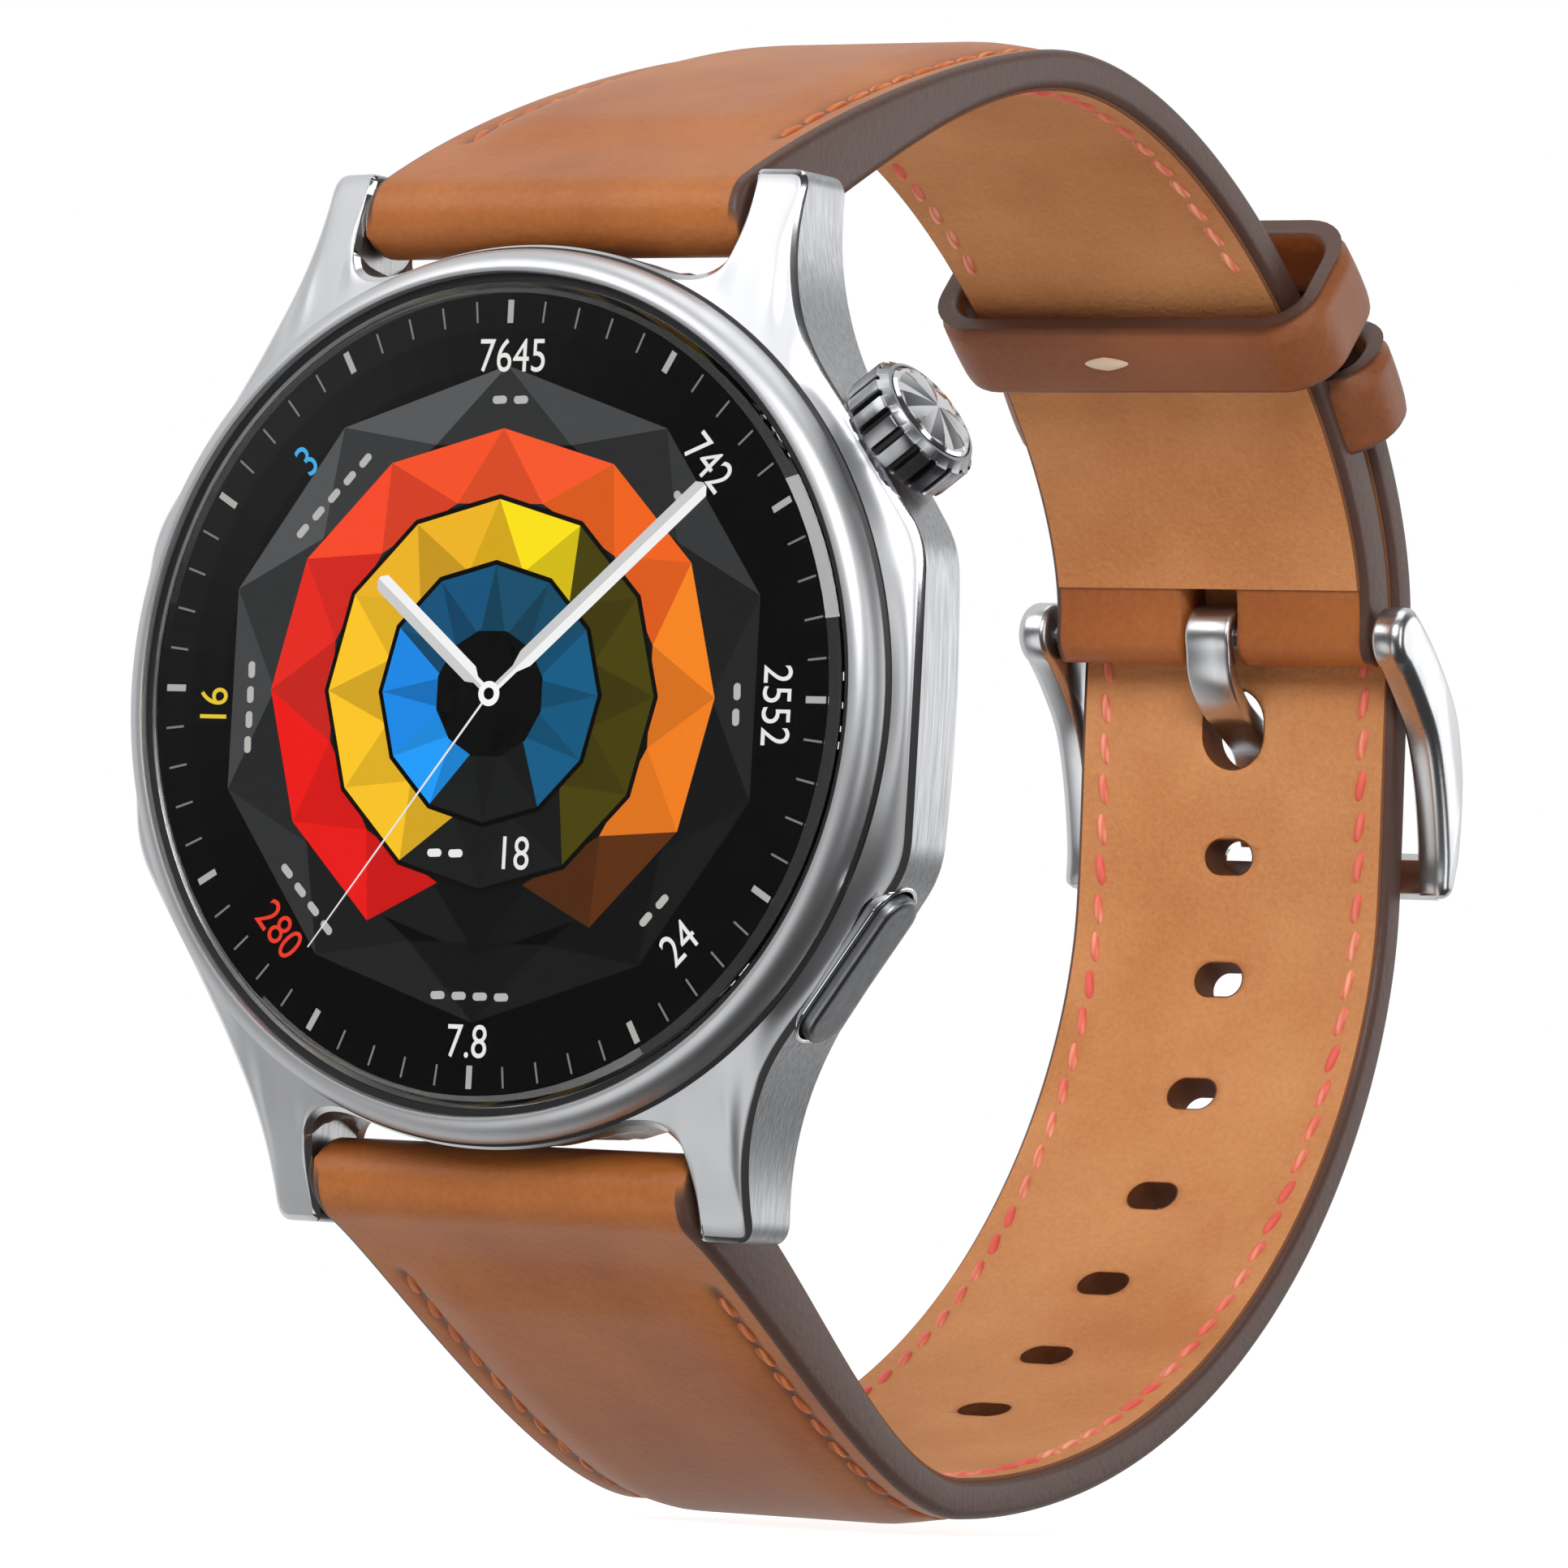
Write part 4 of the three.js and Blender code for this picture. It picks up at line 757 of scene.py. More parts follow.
# The black material on the flute floors is painted shade, darkening the grooves.
crown.data.materials.append(black_gasket_and_shade)
crown_row, crown_column = np.divmod(np.arange(13 * FLUTES * FLUTE_POINTS), FLUTES * FLUTE_POINTS)
in_flute = np.cos(2 * np.pi * (crown_column + 0.5) / FLUTE_POINTS) > 0.5
shaded_flute_faces = np.append(in_flute & (crown_row >= 1) & (crown_row <= 7), [False, False])
crown.data.polygons.foreach_set("material_index", shaded_flute_faces.astype(np.int32))
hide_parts("crown_wheel")
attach(crown, "crown")


def crown_cap_rings():
    """A shallow dome whose height ripples in straight rays: height - 0.15 |saw(rays * turn)|, less at its middle."""
    radius = np.array([2.62, 2.64, 2.5, 2.3, 1.8, 1.2, 0.6, 0.12])
    height = np.array([2.7, 2.98, 3.12, 3.2, 3.33, 3.42, 3.47, 3.49])
    ray = np.array([0, 0, 0, 1, 1, 0.8, 0.45, 0.1])
    turn = np.linspace(0, 2 * np.pi, 96, endpoint=False)
    saw = np.abs((turn * CAP_RAYS / (2 * np.pi)) % 1 - 0.5) * 2
    heights = height[:, None] - 0.15 * ray[:, None] * saw[None, :]
    return about_crown(np.broadcast_to(radius[:, None], heights.shape), np.broadcast_to(turn, heights.shape), heights)


crown_cap = loft("crown_cap_dome", crown_cap_rings(), polished_steel, sharp=6)
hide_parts("crown_cap")
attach(crown_cap, "crown")

# ------------------------------------------------------------------ side button
# The button is a steel pill with a satin top that slides in a pocket milled into the case. A polished lip runs round
# the pocket's mouth.

button_steel = metal("button_steel", (150, 151, 153), (126, 128, 131), (2600, 2600, 300), 0.28, 0.42, 0.1)
button = loft("button", pill_rings(8.7, 2.75, (0, 0, 0.03, 0.12, 0.3, 0.42), (-0.7, 0.38, 0.52, 0.6, 0.63, 0.63)),
              button_steel, sharp=50)
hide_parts("button_cap")
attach(button, "side_button")
lip_rings = pill_rings(9.5, 3.55, (0.2, 0.02, 0.0, 0.06, 0.16, 0.24, 0.24, 0.22),
                       (-0.5, -0.1, 0.02, 0.09, 0.09, 0.02, -0.3, -0.5))
lip = solid("button_lip", lip_rings, quads(*lip_rings.shape[:2], True, True), polished_steel, sharp=50)
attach(lip, "case")

# ------------------------------------------------------------------ strap leather
# Each half of the strap is one piece of tan leather, folded round its spring bar over a light lining. It is padded
# near the case, and its cut edges are sealed with dark paint.

STRAP_HALF = 11.0
TAIL_HALF = 9.9
STRAP_THICK = 2.1
LUG_THICK = 4.3
PADDING = 0.62
BUCKLE_DEPTH = (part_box("buckle_bar")[0][1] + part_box("buckle_bar")[1][1]) / 2 / MM - FRONT_Y
BUCKLE_Z = (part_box("buckle_bar")[0][2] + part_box("buckle_bar")[1][2]) / 2 / MM
BUCKLE_FOLD = 1.55
TAIL_OFFSET = BUCKLE_FOLD + 0.35 + STRAP_THICK / 2
STITCH_INSET = 1.75


def measured(points):
    """A path's points with the length along it up to each one."""
    steps = np.linalg.norm(np.diff(points, axis=0), axis=1)
    return points, np.concatenate([[0], np.cumsum(steps)])


def spot(path, along, side):
    """A path's point, direction and outward normal at each length along it. Past its ends it runs straight on."""
    points, lengths = path
    along = np.asarray(along, float)
    inside = np.clip(along, 0.02, lengths[-1] - 0.02)
    here = np.stack([np.interp(inside, lengths, points[:, k]) for k in (0, 1)], axis=-1)
    reach = 0.4
    before, after = np.clip(inside - reach, 0, None), np.clip(inside + reach, None, lengths[-1])
    ahead = np.stack([np.interp(after, lengths, points[:, k]) - np.interp(before, lengths, points[:, k])
                      for k in (0, 1)], axis=-1)
    ahead /= np.linalg.norm(ahead, axis=-1, keepdims=True)
    normal = side * np.stack([-ahead[..., 1], ahead[..., 0]], axis=-1)
    return here + (along - inside)[..., None] * ahead, ahead, normal


upper_path = measured(np.concatenate([
    bend((BAR_DEPTH, BAR_Z), (BAR_DEPTH + 7.2, BAR_Z + 3.9), (28, 35.3), (38, 35.3), count=240)[:-1],
    bend((38, 35.3), (54, 35.3), (BUCKLE_DEPTH + 0.35, BUCKLE_Z + 10), (BUCKLE_DEPTH, BUCKLE_Z), count=240)]))
UPPER_LENGTH = upper_path[1][-1]
over_bar, over_ahead, over_out = spot(upper_path, UPPER_LENGTH, 1)
over_bar = over_bar + TAIL_OFFSET * over_out
back_along = UPPER_LENGTH - np.linspace(0, 21, 60)
back_point, _, back_out = spot(upper_path, back_along, 1)
lower_path = measured(np.concatenate([
    bend((BAR_DEPTH, -BAR_Z), (BAR_DEPTH + 7.3, -BAR_Z - 3.3), (24.5, -38.7), (33, -38.7), count=240)[:-1],
    bend((33, -38.7), (60, -38.7), (75.6, -20), (75.6, -6), count=240)[:-1],
    bend((75.6, -6), (75.6, -1), tuple(over_bar + 5 * over_ahead), tuple(over_bar), count=120)[:-1],
    back_point + TAIL_OFFSET * back_out]))
TAIL_TIP = lower_path[1][-1]
BAR_ALONG = lower_path[1][-len(back_point)]


def strap_half_width(along):
    return STRAP_HALF + (TAIL_HALF - STRAP_HALF) * smooth_step(along, 4, 42)


def strap_half_thick(along):
    return (LUG_THICK + (STRAP_THICK - LUG_THICK) * smooth_step(along, 0, 30)) / 2


def strap_padding(along):
    return PADDING * smooth_step(along, 3.2, 8.5) * (1 - smooth_step(along, 22, 50))


def top_height(x, half_width, high, pad, sewn=1.0):
    """The outer face's height: the leather's own, plus a pillow inside the stitching, less the stitched groove."""
    inset = half_width - np.abs(x)
    pillow = pad * smooth_step(inset, 1.0, 4.6)
    groove = 0.2 * sewn * np.exp(-((inset - STITCH_INSET) / 0.42) ** 2)
    return high + pillow - groove


TOP_INSETS = np.array([0, 0.75, 1.0, 1.2, 1.35, 1.5, 1.62, 1.75, 1.88, 2.0, 2.15, 2.3, 2.6, 3.0, 3.5, 4.1, 4.8])


def sections(half_width, low, high, pad, corner, sewn, painted):
    """Closed cross-sections as X, height and edge mask: a pillowed top, round painted sides, a flat underside. On the
    top the mask also marks the stitched groove, which it darkens as painted shade.
    """
    half_width, low, high, pad, sewn, painted = (np.broadcast_to(np.asarray(v, float), np.shape(half_width))[:, None]
                                                 for v in (half_width, low, high, pad, sewn, painted))
    corner = np.minimum(corner, 0.45 * (high - low))
    reach = half_width - corner
    shrink = np.minimum(1, (half_width - 0.3) / 6.5)
    side_x = reach - shrink * (np.maximum(corner, TOP_INSETS) - corner)
    top_x = np.concatenate([-side_x, side_x[:, -1:] * np.linspace(-1, 1, 17)[1:-1], side_x[:, ::-1]], axis=1)
    top = top_height(top_x, half_width, high, pad, sewn)
    turn = np.radians(np.linspace(80, 0, 5))
    right_top = (reach + corner * np.cos(turn), high - corner + corner * np.sin(turn))
    right_low = (reach + corner * np.cos(turn), low + corner - corner * np.sin(turn))
    under_x = reach * np.linspace(1, -1, 19)
    x = np.concatenate([top_x, right_top[0], right_low[0][:, ::-1], under_x,
                        -right_low[0], -right_top[0][:, ::-1]], axis=1)
    out = np.concatenate([top, right_top[1], right_low[1][:, ::-1], low + 0 * under_x,
                          right_low[1], right_top[1][:, ::-1]], axis=1)
    inset = half_width - np.abs(top_x)
    # The stitched groove is darkened with the edge colour: painted shade in the groove.
    seam = 0.85 * sewn * np.exp(-((inset - STITCH_INSET) / 0.28) ** 2)
    sides, flat_under = painted * np.ones((len(x), 10)), np.zeros((len(x), 19))
    mask = np.concatenate([seam, sides, flat_under, sides], axis=1)
    return x, out, mask


def strap_grid(path, side, along, x, out):
    """Places cross-sections along a path: point = path + height * normal, at its own X."""
    here, _, normal = spot(path, along, side)
    place = here[:, None, :] + out[..., None] * normal[:, None, :]
    return np.stack([x, FRONT_Y + place[..., 0], place[..., 1]], axis=-1)


def folded(along_start, along_end, fold_start, fold_end, step=0.45, turns=9):
    """Lengths along a strap with round folds at its ends, and the share of the thickness left at each: a fold runs
    on by R sin a, and thins as R cos a. A fold radius of 0 leaves that end square."""
    a = np.radians(np.linspace(84, 0, turns))
    body = np.linspace(along_start, along_end, int((along_end - along_start) / step) + 2)
    lengths, share = [body], [np.ones(len(body))]
    if fold_start:
        lengths.insert(0, along_start - fold_start * np.sin(a[:-1]))
        share.insert(0, np.cos(a[:-1]))
    if fold_end:
        lengths.append(along_end + fold_end * np.sin(a[-2::-1]))
        share.append(np.cos(a[-2::-1]))
    return np.concatenate(lengths), np.concatenate(share)


# The leather effect: fine grain over soft clouds, a darker painted edge where the mask is 1, painted shade in the
# stitched groove where the mask marks it, and a pebbled height.
hide, hide_in, hide_out = effect(
    "hide", {"Light": "Color", "Dark": "Color", "Paint": "Color", "Edge": "Float", "Grain": "Float",
             "Smooth": "Float", "Rough": "Float"},
    {"Color": "Color", "Roughness": "Float", "Height": "Float"})
hide_place = add(hide, "TexCoord")
hide_cells = add(hide, "TexVoronoi", feature="SMOOTH_F1")
hide_fine = add(hide, "TexNoise", [("Detail", 6), ("Roughness", 0.65)])
hide_clouds = add(hide, "TexNoise", [("Scale", 95), ("Detail", 3)])
hide_tone = add(hide, "Math", [(1, 0.6)], operation="MULTIPLY_ADD")
hide_shade = add(hide, "MapRange", [("From Min", 0.55), ("From Max", 1.05)])
hide_colour = add(hide, "Mix", data_type="RGBA")
hide_paint = add(hide, "Mix", data_type="RGBA")
hide_height = add(hide, "Math", [(1, 0.6)], operation="MULTIPLY_ADD")
hide_rough = add(hide, "Mix")
join(hide,
     (hide_place, "Object", hide_cells, "Vector"), (hide_in, "Grain", hide_cells, "Scale"),
     (hide_place, "Object", hide_fine, "Vector"), (hide_in, "Grain", hide_fine, "Scale"),
     (hide_place, "Object", hide_clouds, "Vector"),
     (hide_fine, "Fac", hide_tone, 0), (hide_clouds, "Fac", hide_tone, 2),
     (hide_tone, "Value", hide_shade, "Value"), (hide_shade, "Result", hide_colour, "Factor"),
     (hide_in, "Dark", hide_colour, 6), (hide_in, "Light", hide_colour, 7),
     (hide_in, "Edge", hide_paint, "Factor"), (hide_colour, 2, hide_paint, 6),
     (hide_in, "Paint", hide_paint, 7), (hide_paint, 2, hide_out, "Color"),
     (hide_cells, "Distance", hide_height, 0), (hide_fine, "Fac", hide_height, 2),
     (hide_height, "Value", hide_out, "Height"),
     (hide_fine, "Fac", hide_rough, "Factor"), (hide_in, "Smooth", hide_rough, 2),
     (hide_in, "Rough", hide_rough, 3), (hide_rough, 0, hide_out, "Roughness"))


def leather(name, light, dark, paint, grain, smooth, rough, relief, specular=0.5, coat=0.0):
    """A leather whose cut edges carry edge paint and whose stitched grooves carry painted shade, both marked by a
    mask attribute.
    """
    material, tree, bsdf = shader(name, Specular_IOR_Level=specular, Coat_Weight=coat, Coat_Roughness=0.25)
    skin = add(tree, "Group", node_tree=hide)
    edge = add(tree, "Attribute", attribute_name="edge_paint_and_groove_shade")
    for socket, value in (("Light", rgb(*light)), ("Dark", rgb(*dark)), ("Paint", rgb(*paint)), ("Grain", grain),
                          ("Smooth", smooth), ("Rough", rough)):
        skin.inputs[socket].default_value = value
    bump = add(tree, "Bump", [("Strength", relief), ("Distance", 2 * RELIEF_DEPTH)])
    join(tree, (edge, "Fac", skin, "Edge"), (skin, "Color", bsdf, "Base Color"),
         (skin, "Roughness", bsdf, "Roughness"), (skin, "Height", bump, "Height"),
         (bump, "Normal", bsdf, "Normal"))
    return material


# The edge paint colour, also used as painted shade in the stitched groove.
EDGE_PAINT_AND_GROOVE_SHADE = (80, 54, 45)
outer_leather = leather("outer_leather", (176, 106, 48), (150, 80, 31), EDGE_PAINT_AND_GROOVE_SHADE, 2600, 0.36, 0.52, 0.3, 0.35, 0.05)
lining_leather = leather("lining_leather", (212, 150, 98), (186, 120, 70), (120, 76, 50), 3200, 0.6, 0.8, 0.7, 0.25)
hole_leather = leather("hole_leather", (112, 64, 34), (84, 44, 22), (60, 34, 20), 2600, 0.6, 0.8, 0.3, 0.2)

END_HALF = 1.45
FOLDED_RUN = 17.5
PANEL_BACK = 2.9
UPPER_BEND = UPPER_LENGTH - 27
HOLE_PITCH = 7.1
USED_HOLE = BAR_ALONG - 4.9
LOWER_BEND = USED_HOLE - 5.5 * HOLE_PITCH


def upper_half_thick(along):
    """The upper half's thickness grows again where its buckle end is folded double."""
    doubled = smooth_step(along, UPPER_LENGTH - FOLDED_RUN - 3, UPPER_LENGTH - FOLDED_RUN)
    return strap_half_thick(along) + (END_HALF - STRAP_THICK / 2) * doubled


def strap_mesh(name, path, side, along, share, half_thick, half_width, low_gap, high_gap, pad, corner, material,
               sewn=0.0):
    """A strap layer between two heights: from -half thickness + low gap up to half thickness - high gap."""
    half = half_thick * share
    x, out, mask = sections(half_width, -half + low_gap * share, half - high_gap * share, pad * share, corner, sewn,
                            smooth_step(share, 0.1, 0.6))
    return loft(name, strap_grid(path, side, along, x, out), material, sharp=50, masks={"edge_paint_and_groove_shade": mask})


def stadium_cutter(along, across, lengthwise, reach):
    """A plug with rounded ends through the tail: a circle of the smaller size, stretched to the larger one."""
    a = np.linspace(0, 2 * np.pi, 40, endpoint=False)
    radius = min(across, lengthwise) / 2
    x = (across / 2 - radius) * np.sign(np.cos(a)) + radius * np.cos(a)
    run = (lengthwise / 2 - radius) * np.sign(np.sin(a)) + radius * np.sin(a)
    here, ahead, normal = spot(lower_path, along, -1)
    place = here + run[None, :, None] * ahead + np.array([-reach, reach])[:, None, None] * normal
    return np.stack([np.broadcast_to(x, place.shape[:2]), FRONT_Y + place[..., 0], place[..., 1]], axis=-1)


upper_along, upper_share = folded(0, UPPER_LENGTH, LUG_THICK / 2, BUCKLE_FOLD)
upper_leather = strap_mesh("upper_leather", upper_path, 1, upper_along, upper_share, upper_half_thick(upper_along),
                           strap_half_width(upper_along), 0.1, 0, strap_padding(upper_along), 0.5, outer_leather,
                           smooth_step(upper_along, 4.8, 6.0) * (1 - smooth_step(upper_along, UPPER_LENGTH - 18.5,
                                                                                 UPPER_LENGTH - 17)))
SLOT_HALF = 1.8
SLOT_REACH = 4.5
slot_box = np.array([[x * SLOT_HALF, FRONT_Y + BUCKLE_DEPTH + d * SLOT_REACH, BUCKLE_Z + z] for z in (-3.2, 2.9)
                     for x, d in ((-1, -1), (1, -1), (1, 1), (-1, 1))])
carve(upper_leather, loft("tongue_slot", slot_box.reshape(2, 4, 3), hole_leather))
lower_along, lower_share = folded(0, TAIL_TIP - 0.3, LUG_THICK / 2, 0)


TIP_RUN = 9


def tail_half_width(along):
    """The tail narrows to a rounded tip over its last few millimetres, as a half ellipse."""
    u = np.clip((along - (TAIL_TIP - TIP_RUN)) / TIP_RUN, 0, 1)
    return strap_half_width(along) * np.sqrt(1 - (0.97 * u) ** 2)


HOLE_ALONG = [USED_HOLE - k * HOLE_PITCH for k in range(8)]
HOLE_SIZE = [(4.0, 4.6)] + [(3.1, 2.05)] * 7


def punched(piece):
    """Punches the strap's row of holes through a layer."""
    tools = [loft("punch", stadium_cutter(along, *size, 3.0), hole_leather)
             for along, size in zip(HOLE_ALONG, HOLE_SIZE)]
    return carve(piece, *tools)


lower_leather = punched(strap_mesh(
    "lower_leather", lower_path, -1, lower_along, lower_share, strap_half_thick(lower_along),
    tail_half_width(lower_along), 0.1, 0, strap_padding(lower_along), 0.5, outer_leather,
    smooth_step(lower_along, 4.8, 6.0) * (1 - smooth_step(lower_along, TAIL_TIP - TIP_RUN, TAIL_TIP - 6))))

# ------------------------------------------------------------------ strap lining
# The lining is a thin layer of light, matt leather glued inside the painted edges. It stops short of the folds, and
# round holes for the buckle's tongue are punched through both layers, their walls lined in a darker brown.

LINING = 0.45
LINING_START = 4.4
LINING_INSET = 0.35
LINING_OUT = 0.04
upper_lining_along, upper_lining_share = folded(LINING_START, UPPER_LENGTH - PANEL_BACK, 0, 0)
upper_lining = strap_mesh("upper_lining_sheet", upper_path, 1, upper_lining_along, upper_lining_share,
                          upper_half_thick(upper_lining_along),
                          strap_half_width(upper_lining_along) - LINING_INSET, -LINING_OUT,
                          2 * upper_half_thick(upper_lining_along) - LINING, 0, 0.12, lining_leather)
lower_lining_along, lower_lining_share = folded(LINING_START, TAIL_TIP - 0.6, 0, 0)
lower_lining = punched(strap_mesh(
    "lower_lining_sheet", lower_path, -1, lower_lining_along, lower_lining_share,
    strap_half_thick(lower_lining_along), tail_half_width(lower_lining_along) - LINING_INSET, -LINING_OUT,
    2 * strap_half_thick(lower_lining_along) - LINING, 0, 0.12, lining_leather))

sleeve_rings, sleeve_faces = [], []
for along, (across, lengthwise) in zip(HOLE_ALONG, HOLE_SIZE):
    half = float(strap_half_thick(np.array(along)))
    outer = stadium_cutter(along, across + 0.02, lengthwise + 0.02, half - 0.02)
    inner = stadium_cutter(along, across - 0.16, lengthwise - 0.16, half + 0.03)
    start = sum(len(r) for r in sleeve_rings)
    sleeve = np.stack([outer[0], inner[0], inner[1], outer[1]])
    sleeve_faces.append(quads(4, 40, True, True) + start)
    sleeve_rings.append(sleeve.reshape(-1, 3))
hole_sleeve = solid("hole_sleeve", np.concatenate(sleeve_rings), np.concatenate(sleeve_faces), hole_leather, sharp=40)

# ------------------------------------------------------------------ stitching
# Waxed thread runs round each strap half, about two millimetres a stitch. Outside it is close to the leather's
# colour and lies in a shallow groove; inside it is pink, with a small dark gap between stitches.

STITCH_PITCH = 2.25
STITCH_R = 0.27
STITCH_HALF_LENGTH = 1.02
STITCH_START = 5.8
STITCH_RINGS = 7
STITCH_SIDES = 8


def thread(name, core, light, dark):
    """A twisted thread: two shades across a fine wave, with patches of a third."""
    material, tree, bsdf = shader(name, Roughness=0.6)
    place = add(tree, "TexCoord")
    twist = add(tree, "TexWave", [("Scale", 900), ("Distortion", 2)])
    tint = add(tree, "TexNoise", [("Scale", 130)])
    shade = add(tree, "Mix", [(6, rgb(*dark)), (7, rgb(*light))], data_type="RGBA")
    blush = add(tree, "Mix", [(7, rgb(*core))], data_type="RGBA")
    spread = add(tree, "MapRange", [("From Min", 0.42), ("From Max", 0.58)])
    join(tree, (place, "Object", twist, "Vector"), (place, "Object", tint, "Vector"),
         (twist, "Fac", shade, "Factor"), (tint, "Fac", spread, "Value"),
         (spread, "Result", blush, "Factor"), (shade, 2, blush, 6),
         (blush, 2, bsdf, "Base Color"))
    return material


outer_thread = thread("outer_thread", (188, 98, 46), (220, 132, 76), (160, 80, 36))
inner_thread = thread("inner_thread", (226, 92, 78), (244, 176, 138), (226, 120, 96))


def stitches(name, path, side, line, outside, half_thick, half_width, pad, material):
    """One small barrel per stitch along a line of X and length: radius = r (1 - |t|^5) over its length, turned a
    little across the line, laid on the strap's outer or inner face."""
    steps = np.linalg.norm(np.diff(line, axis=0), axis=1)
    total = np.concatenate([[0], np.cumsum(steps)])
    at = np.arange(STITCH_PITCH / 2, total[-1], STITCH_PITCH)
    x, along = np.interp(at, total, line[:, 0]), np.interp(at, total, line[:, 1])
    ahead_x = np.interp(at + 0.3, total, line[:, 0]) - np.interp(at - 0.3, total, line[:, 0])
    ahead_s = np.interp(at + 0.3, total, line[:, 1]) - np.interp(at - 0.3, total, line[:, 1])
    heading = np.arctan2(ahead_x, ahead_s) + 0.2 * np.sign(x)
    here, forward, normal = spot(path, along, side)
    high = half_thick(along)
    lift = top_height(x, half_width(along), high, pad(along)) + 0.03 if outside else -high - 0.06
    t = np.linspace(-1, 1, STITCH_RINGS)
    barrel = STITCH_R * np.clip(1 - np.abs(t) ** 5, 0.05, 1)
    a = np.linspace(0, 2 * np.pi, STITCH_SIDES, endpoint=False)
    long_way = np.broadcast_to((STITCH_HALF_LENGTH * t)[:, None], (STITCH_RINGS, STITCH_SIDES))
    cross_way = barrel[:, None] * np.cos(a)
    up_way = 0.8 * barrel[:, None] * np.sin(a) - 0.12 * (t ** 2)[:, None]
    up_sign = 1 if outside else -1
    local_x = long_way[None] * np.sin(heading)[:, None, None] + cross_way[None] * np.cos(heading)[:, None, None]
    local_s = long_way[None] * np.cos(heading)[:, None, None] - cross_way[None] * np.sin(heading)[:, None, None]
    local_n = lift[:, None, None] + up_sign * up_way[None]
    place = (here[:, None, None, :] + local_s[..., None] * forward[:, None, None, :]
             + local_n[..., None] * normal[:, None, None, :])
    points = np.stack([x[:, None, None] + local_x, FRONT_Y + place[..., 0], place[..., 1]], axis=-1)
    last = (STITCH_RINGS - 1) * STITCH_SIDES
    firsts = range(0, len(at) * STITCH_RINGS * STITCH_SIDES, STITCH_RINGS * STITCH_SIDES)
    face = quads(STITCH_RINGS, STITCH_SIDES, False, True)
    faces = np.concatenate([face + first for first in firsts])
    caps = [list(range(first + STITCH_SIDES - 1, first - 1, -1)) for first in firsts]
    caps += [list(range(first + last, first + last + STITCH_SIDES)) for first in firsts]
    return solid(name, points, faces, material, caps, sharp=80)


def straight_line(x_side, start, end, half_width):
    along = np.linspace(start, end, 120)
    return np.stack([x_side * (half_width(along) - STITCH_INSET), along], axis=1)


def round_the_tip(start, half_width):
    """Up one side, round the tail's tip as a half ellipse, and down the other side."""
    turn_at = TAIL_TIP - TIP_RUN
    along = np.linspace(start, turn_at, 120)
    sides = half_width(along) - STITCH_INSET
    a = np.linspace(0, np.pi, 40)[1:-1]
    tip = np.stack([-sides[-1] * np.cos(a), turn_at + (TIP_RUN - STITCH_INSET) * np.sin(a)], axis=1)
    left = np.stack([-sides, along], axis=1)
    right = np.stack([sides, along], axis=1)[::-1]
    return np.concatenate([left, tip, right])


upper_seams, lower_seams = [], []
for hand_name, x_side in (("left", -1), ("right", 1)):
    for face, start, stop, yarn in (("outside", STITCH_START, 18, outer_thread), ("inside", 7.5, 24, inner_thread)):
        run = straight_line(x_side, start, UPPER_LENGTH - stop, strap_half_width)
        upper_seams.append(stitches(f"upper_stitches_{face}_{hand_name}", upper_path, 1, run, face == "outside",
                                    upper_half_thick, strap_half_width, strap_padding, yarn))
tip_run = round_the_tip(STITCH_START, strap_half_width)
for face, yarn in (("outside", outer_thread), ("inside", inner_thread)):
    lower_seams.append(stitches(f"lower_stitches_{face}", lower_path, -1, tip_run, face == "outside",
                                strap_half_thick, strap_half_width, strap_padding, yarn))


def place_on_strap(path, side, along):
    here = spot(path, along, side)[0]
    return (0, (FRONT_Y + float(here[0])) * MM, float(here[1]) * MM)


BEND_REACH = 6.0
upper_bend = [place_on_strap(upper_path, 1, UPPER_BEND + reach) for reach in (-BEND_REACH, BEND_REACH)]
lower_bend = [place_on_strap(lower_path, -1, LOWER_BEND + reach) for reach in (-BEND_REACH, BEND_REACH)]
for piece in (upper_leather, upper_lining, *upper_seams):
    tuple(upper_bend[0])
    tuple(upper_bend[1])
    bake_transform(piece)
for piece in (lower_leather, lower_lining, hole_sleeve, *lower_seams):
    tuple(lower_bend[0])
    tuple(lower_bend[1])
    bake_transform(piece)
for piece, replaced, slot_name in (
        (upper_leather, ("upper_strap_leather", "upper_end_leather"), "outer_leather"),
        (upper_lining, ("upper_strap_lining", "upper_end_lining"), "lining_leather"),
        (lower_leather, ("lower_strap_leather", "tail_leather"), "outer_leather"),
        (lower_lining, ("lower_strap_lining", "tail_lining"), "lining_leather")):
    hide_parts(*replaced)

# ------------------------------------------------------------------ keepers
# Two loops of the strap's own leather hold the tail down: one is sewn into the buckle end, the other slides. Their
# cut rims are painted dark, and the sliding loop is closed on the wrist side with one cream staple stitch.

KEEPER_HALF = TAIL_HALF + 0.75
KEEPER_OUT = TAIL_OFFSET + STRAP_THICK / 2 + 0.35
KEEPER_THICK = 1.3
FREE_ALONG = UPPER_LENGTH - 19.6
FIXED_ALONG = UPPER_LENGTH - 13.2
KEEPER_WIDTH = 5.0
FREE_LOW = -END_HALF - 0.35
FIXED_LOW = 0.35
FIXED_RUN = 0.95


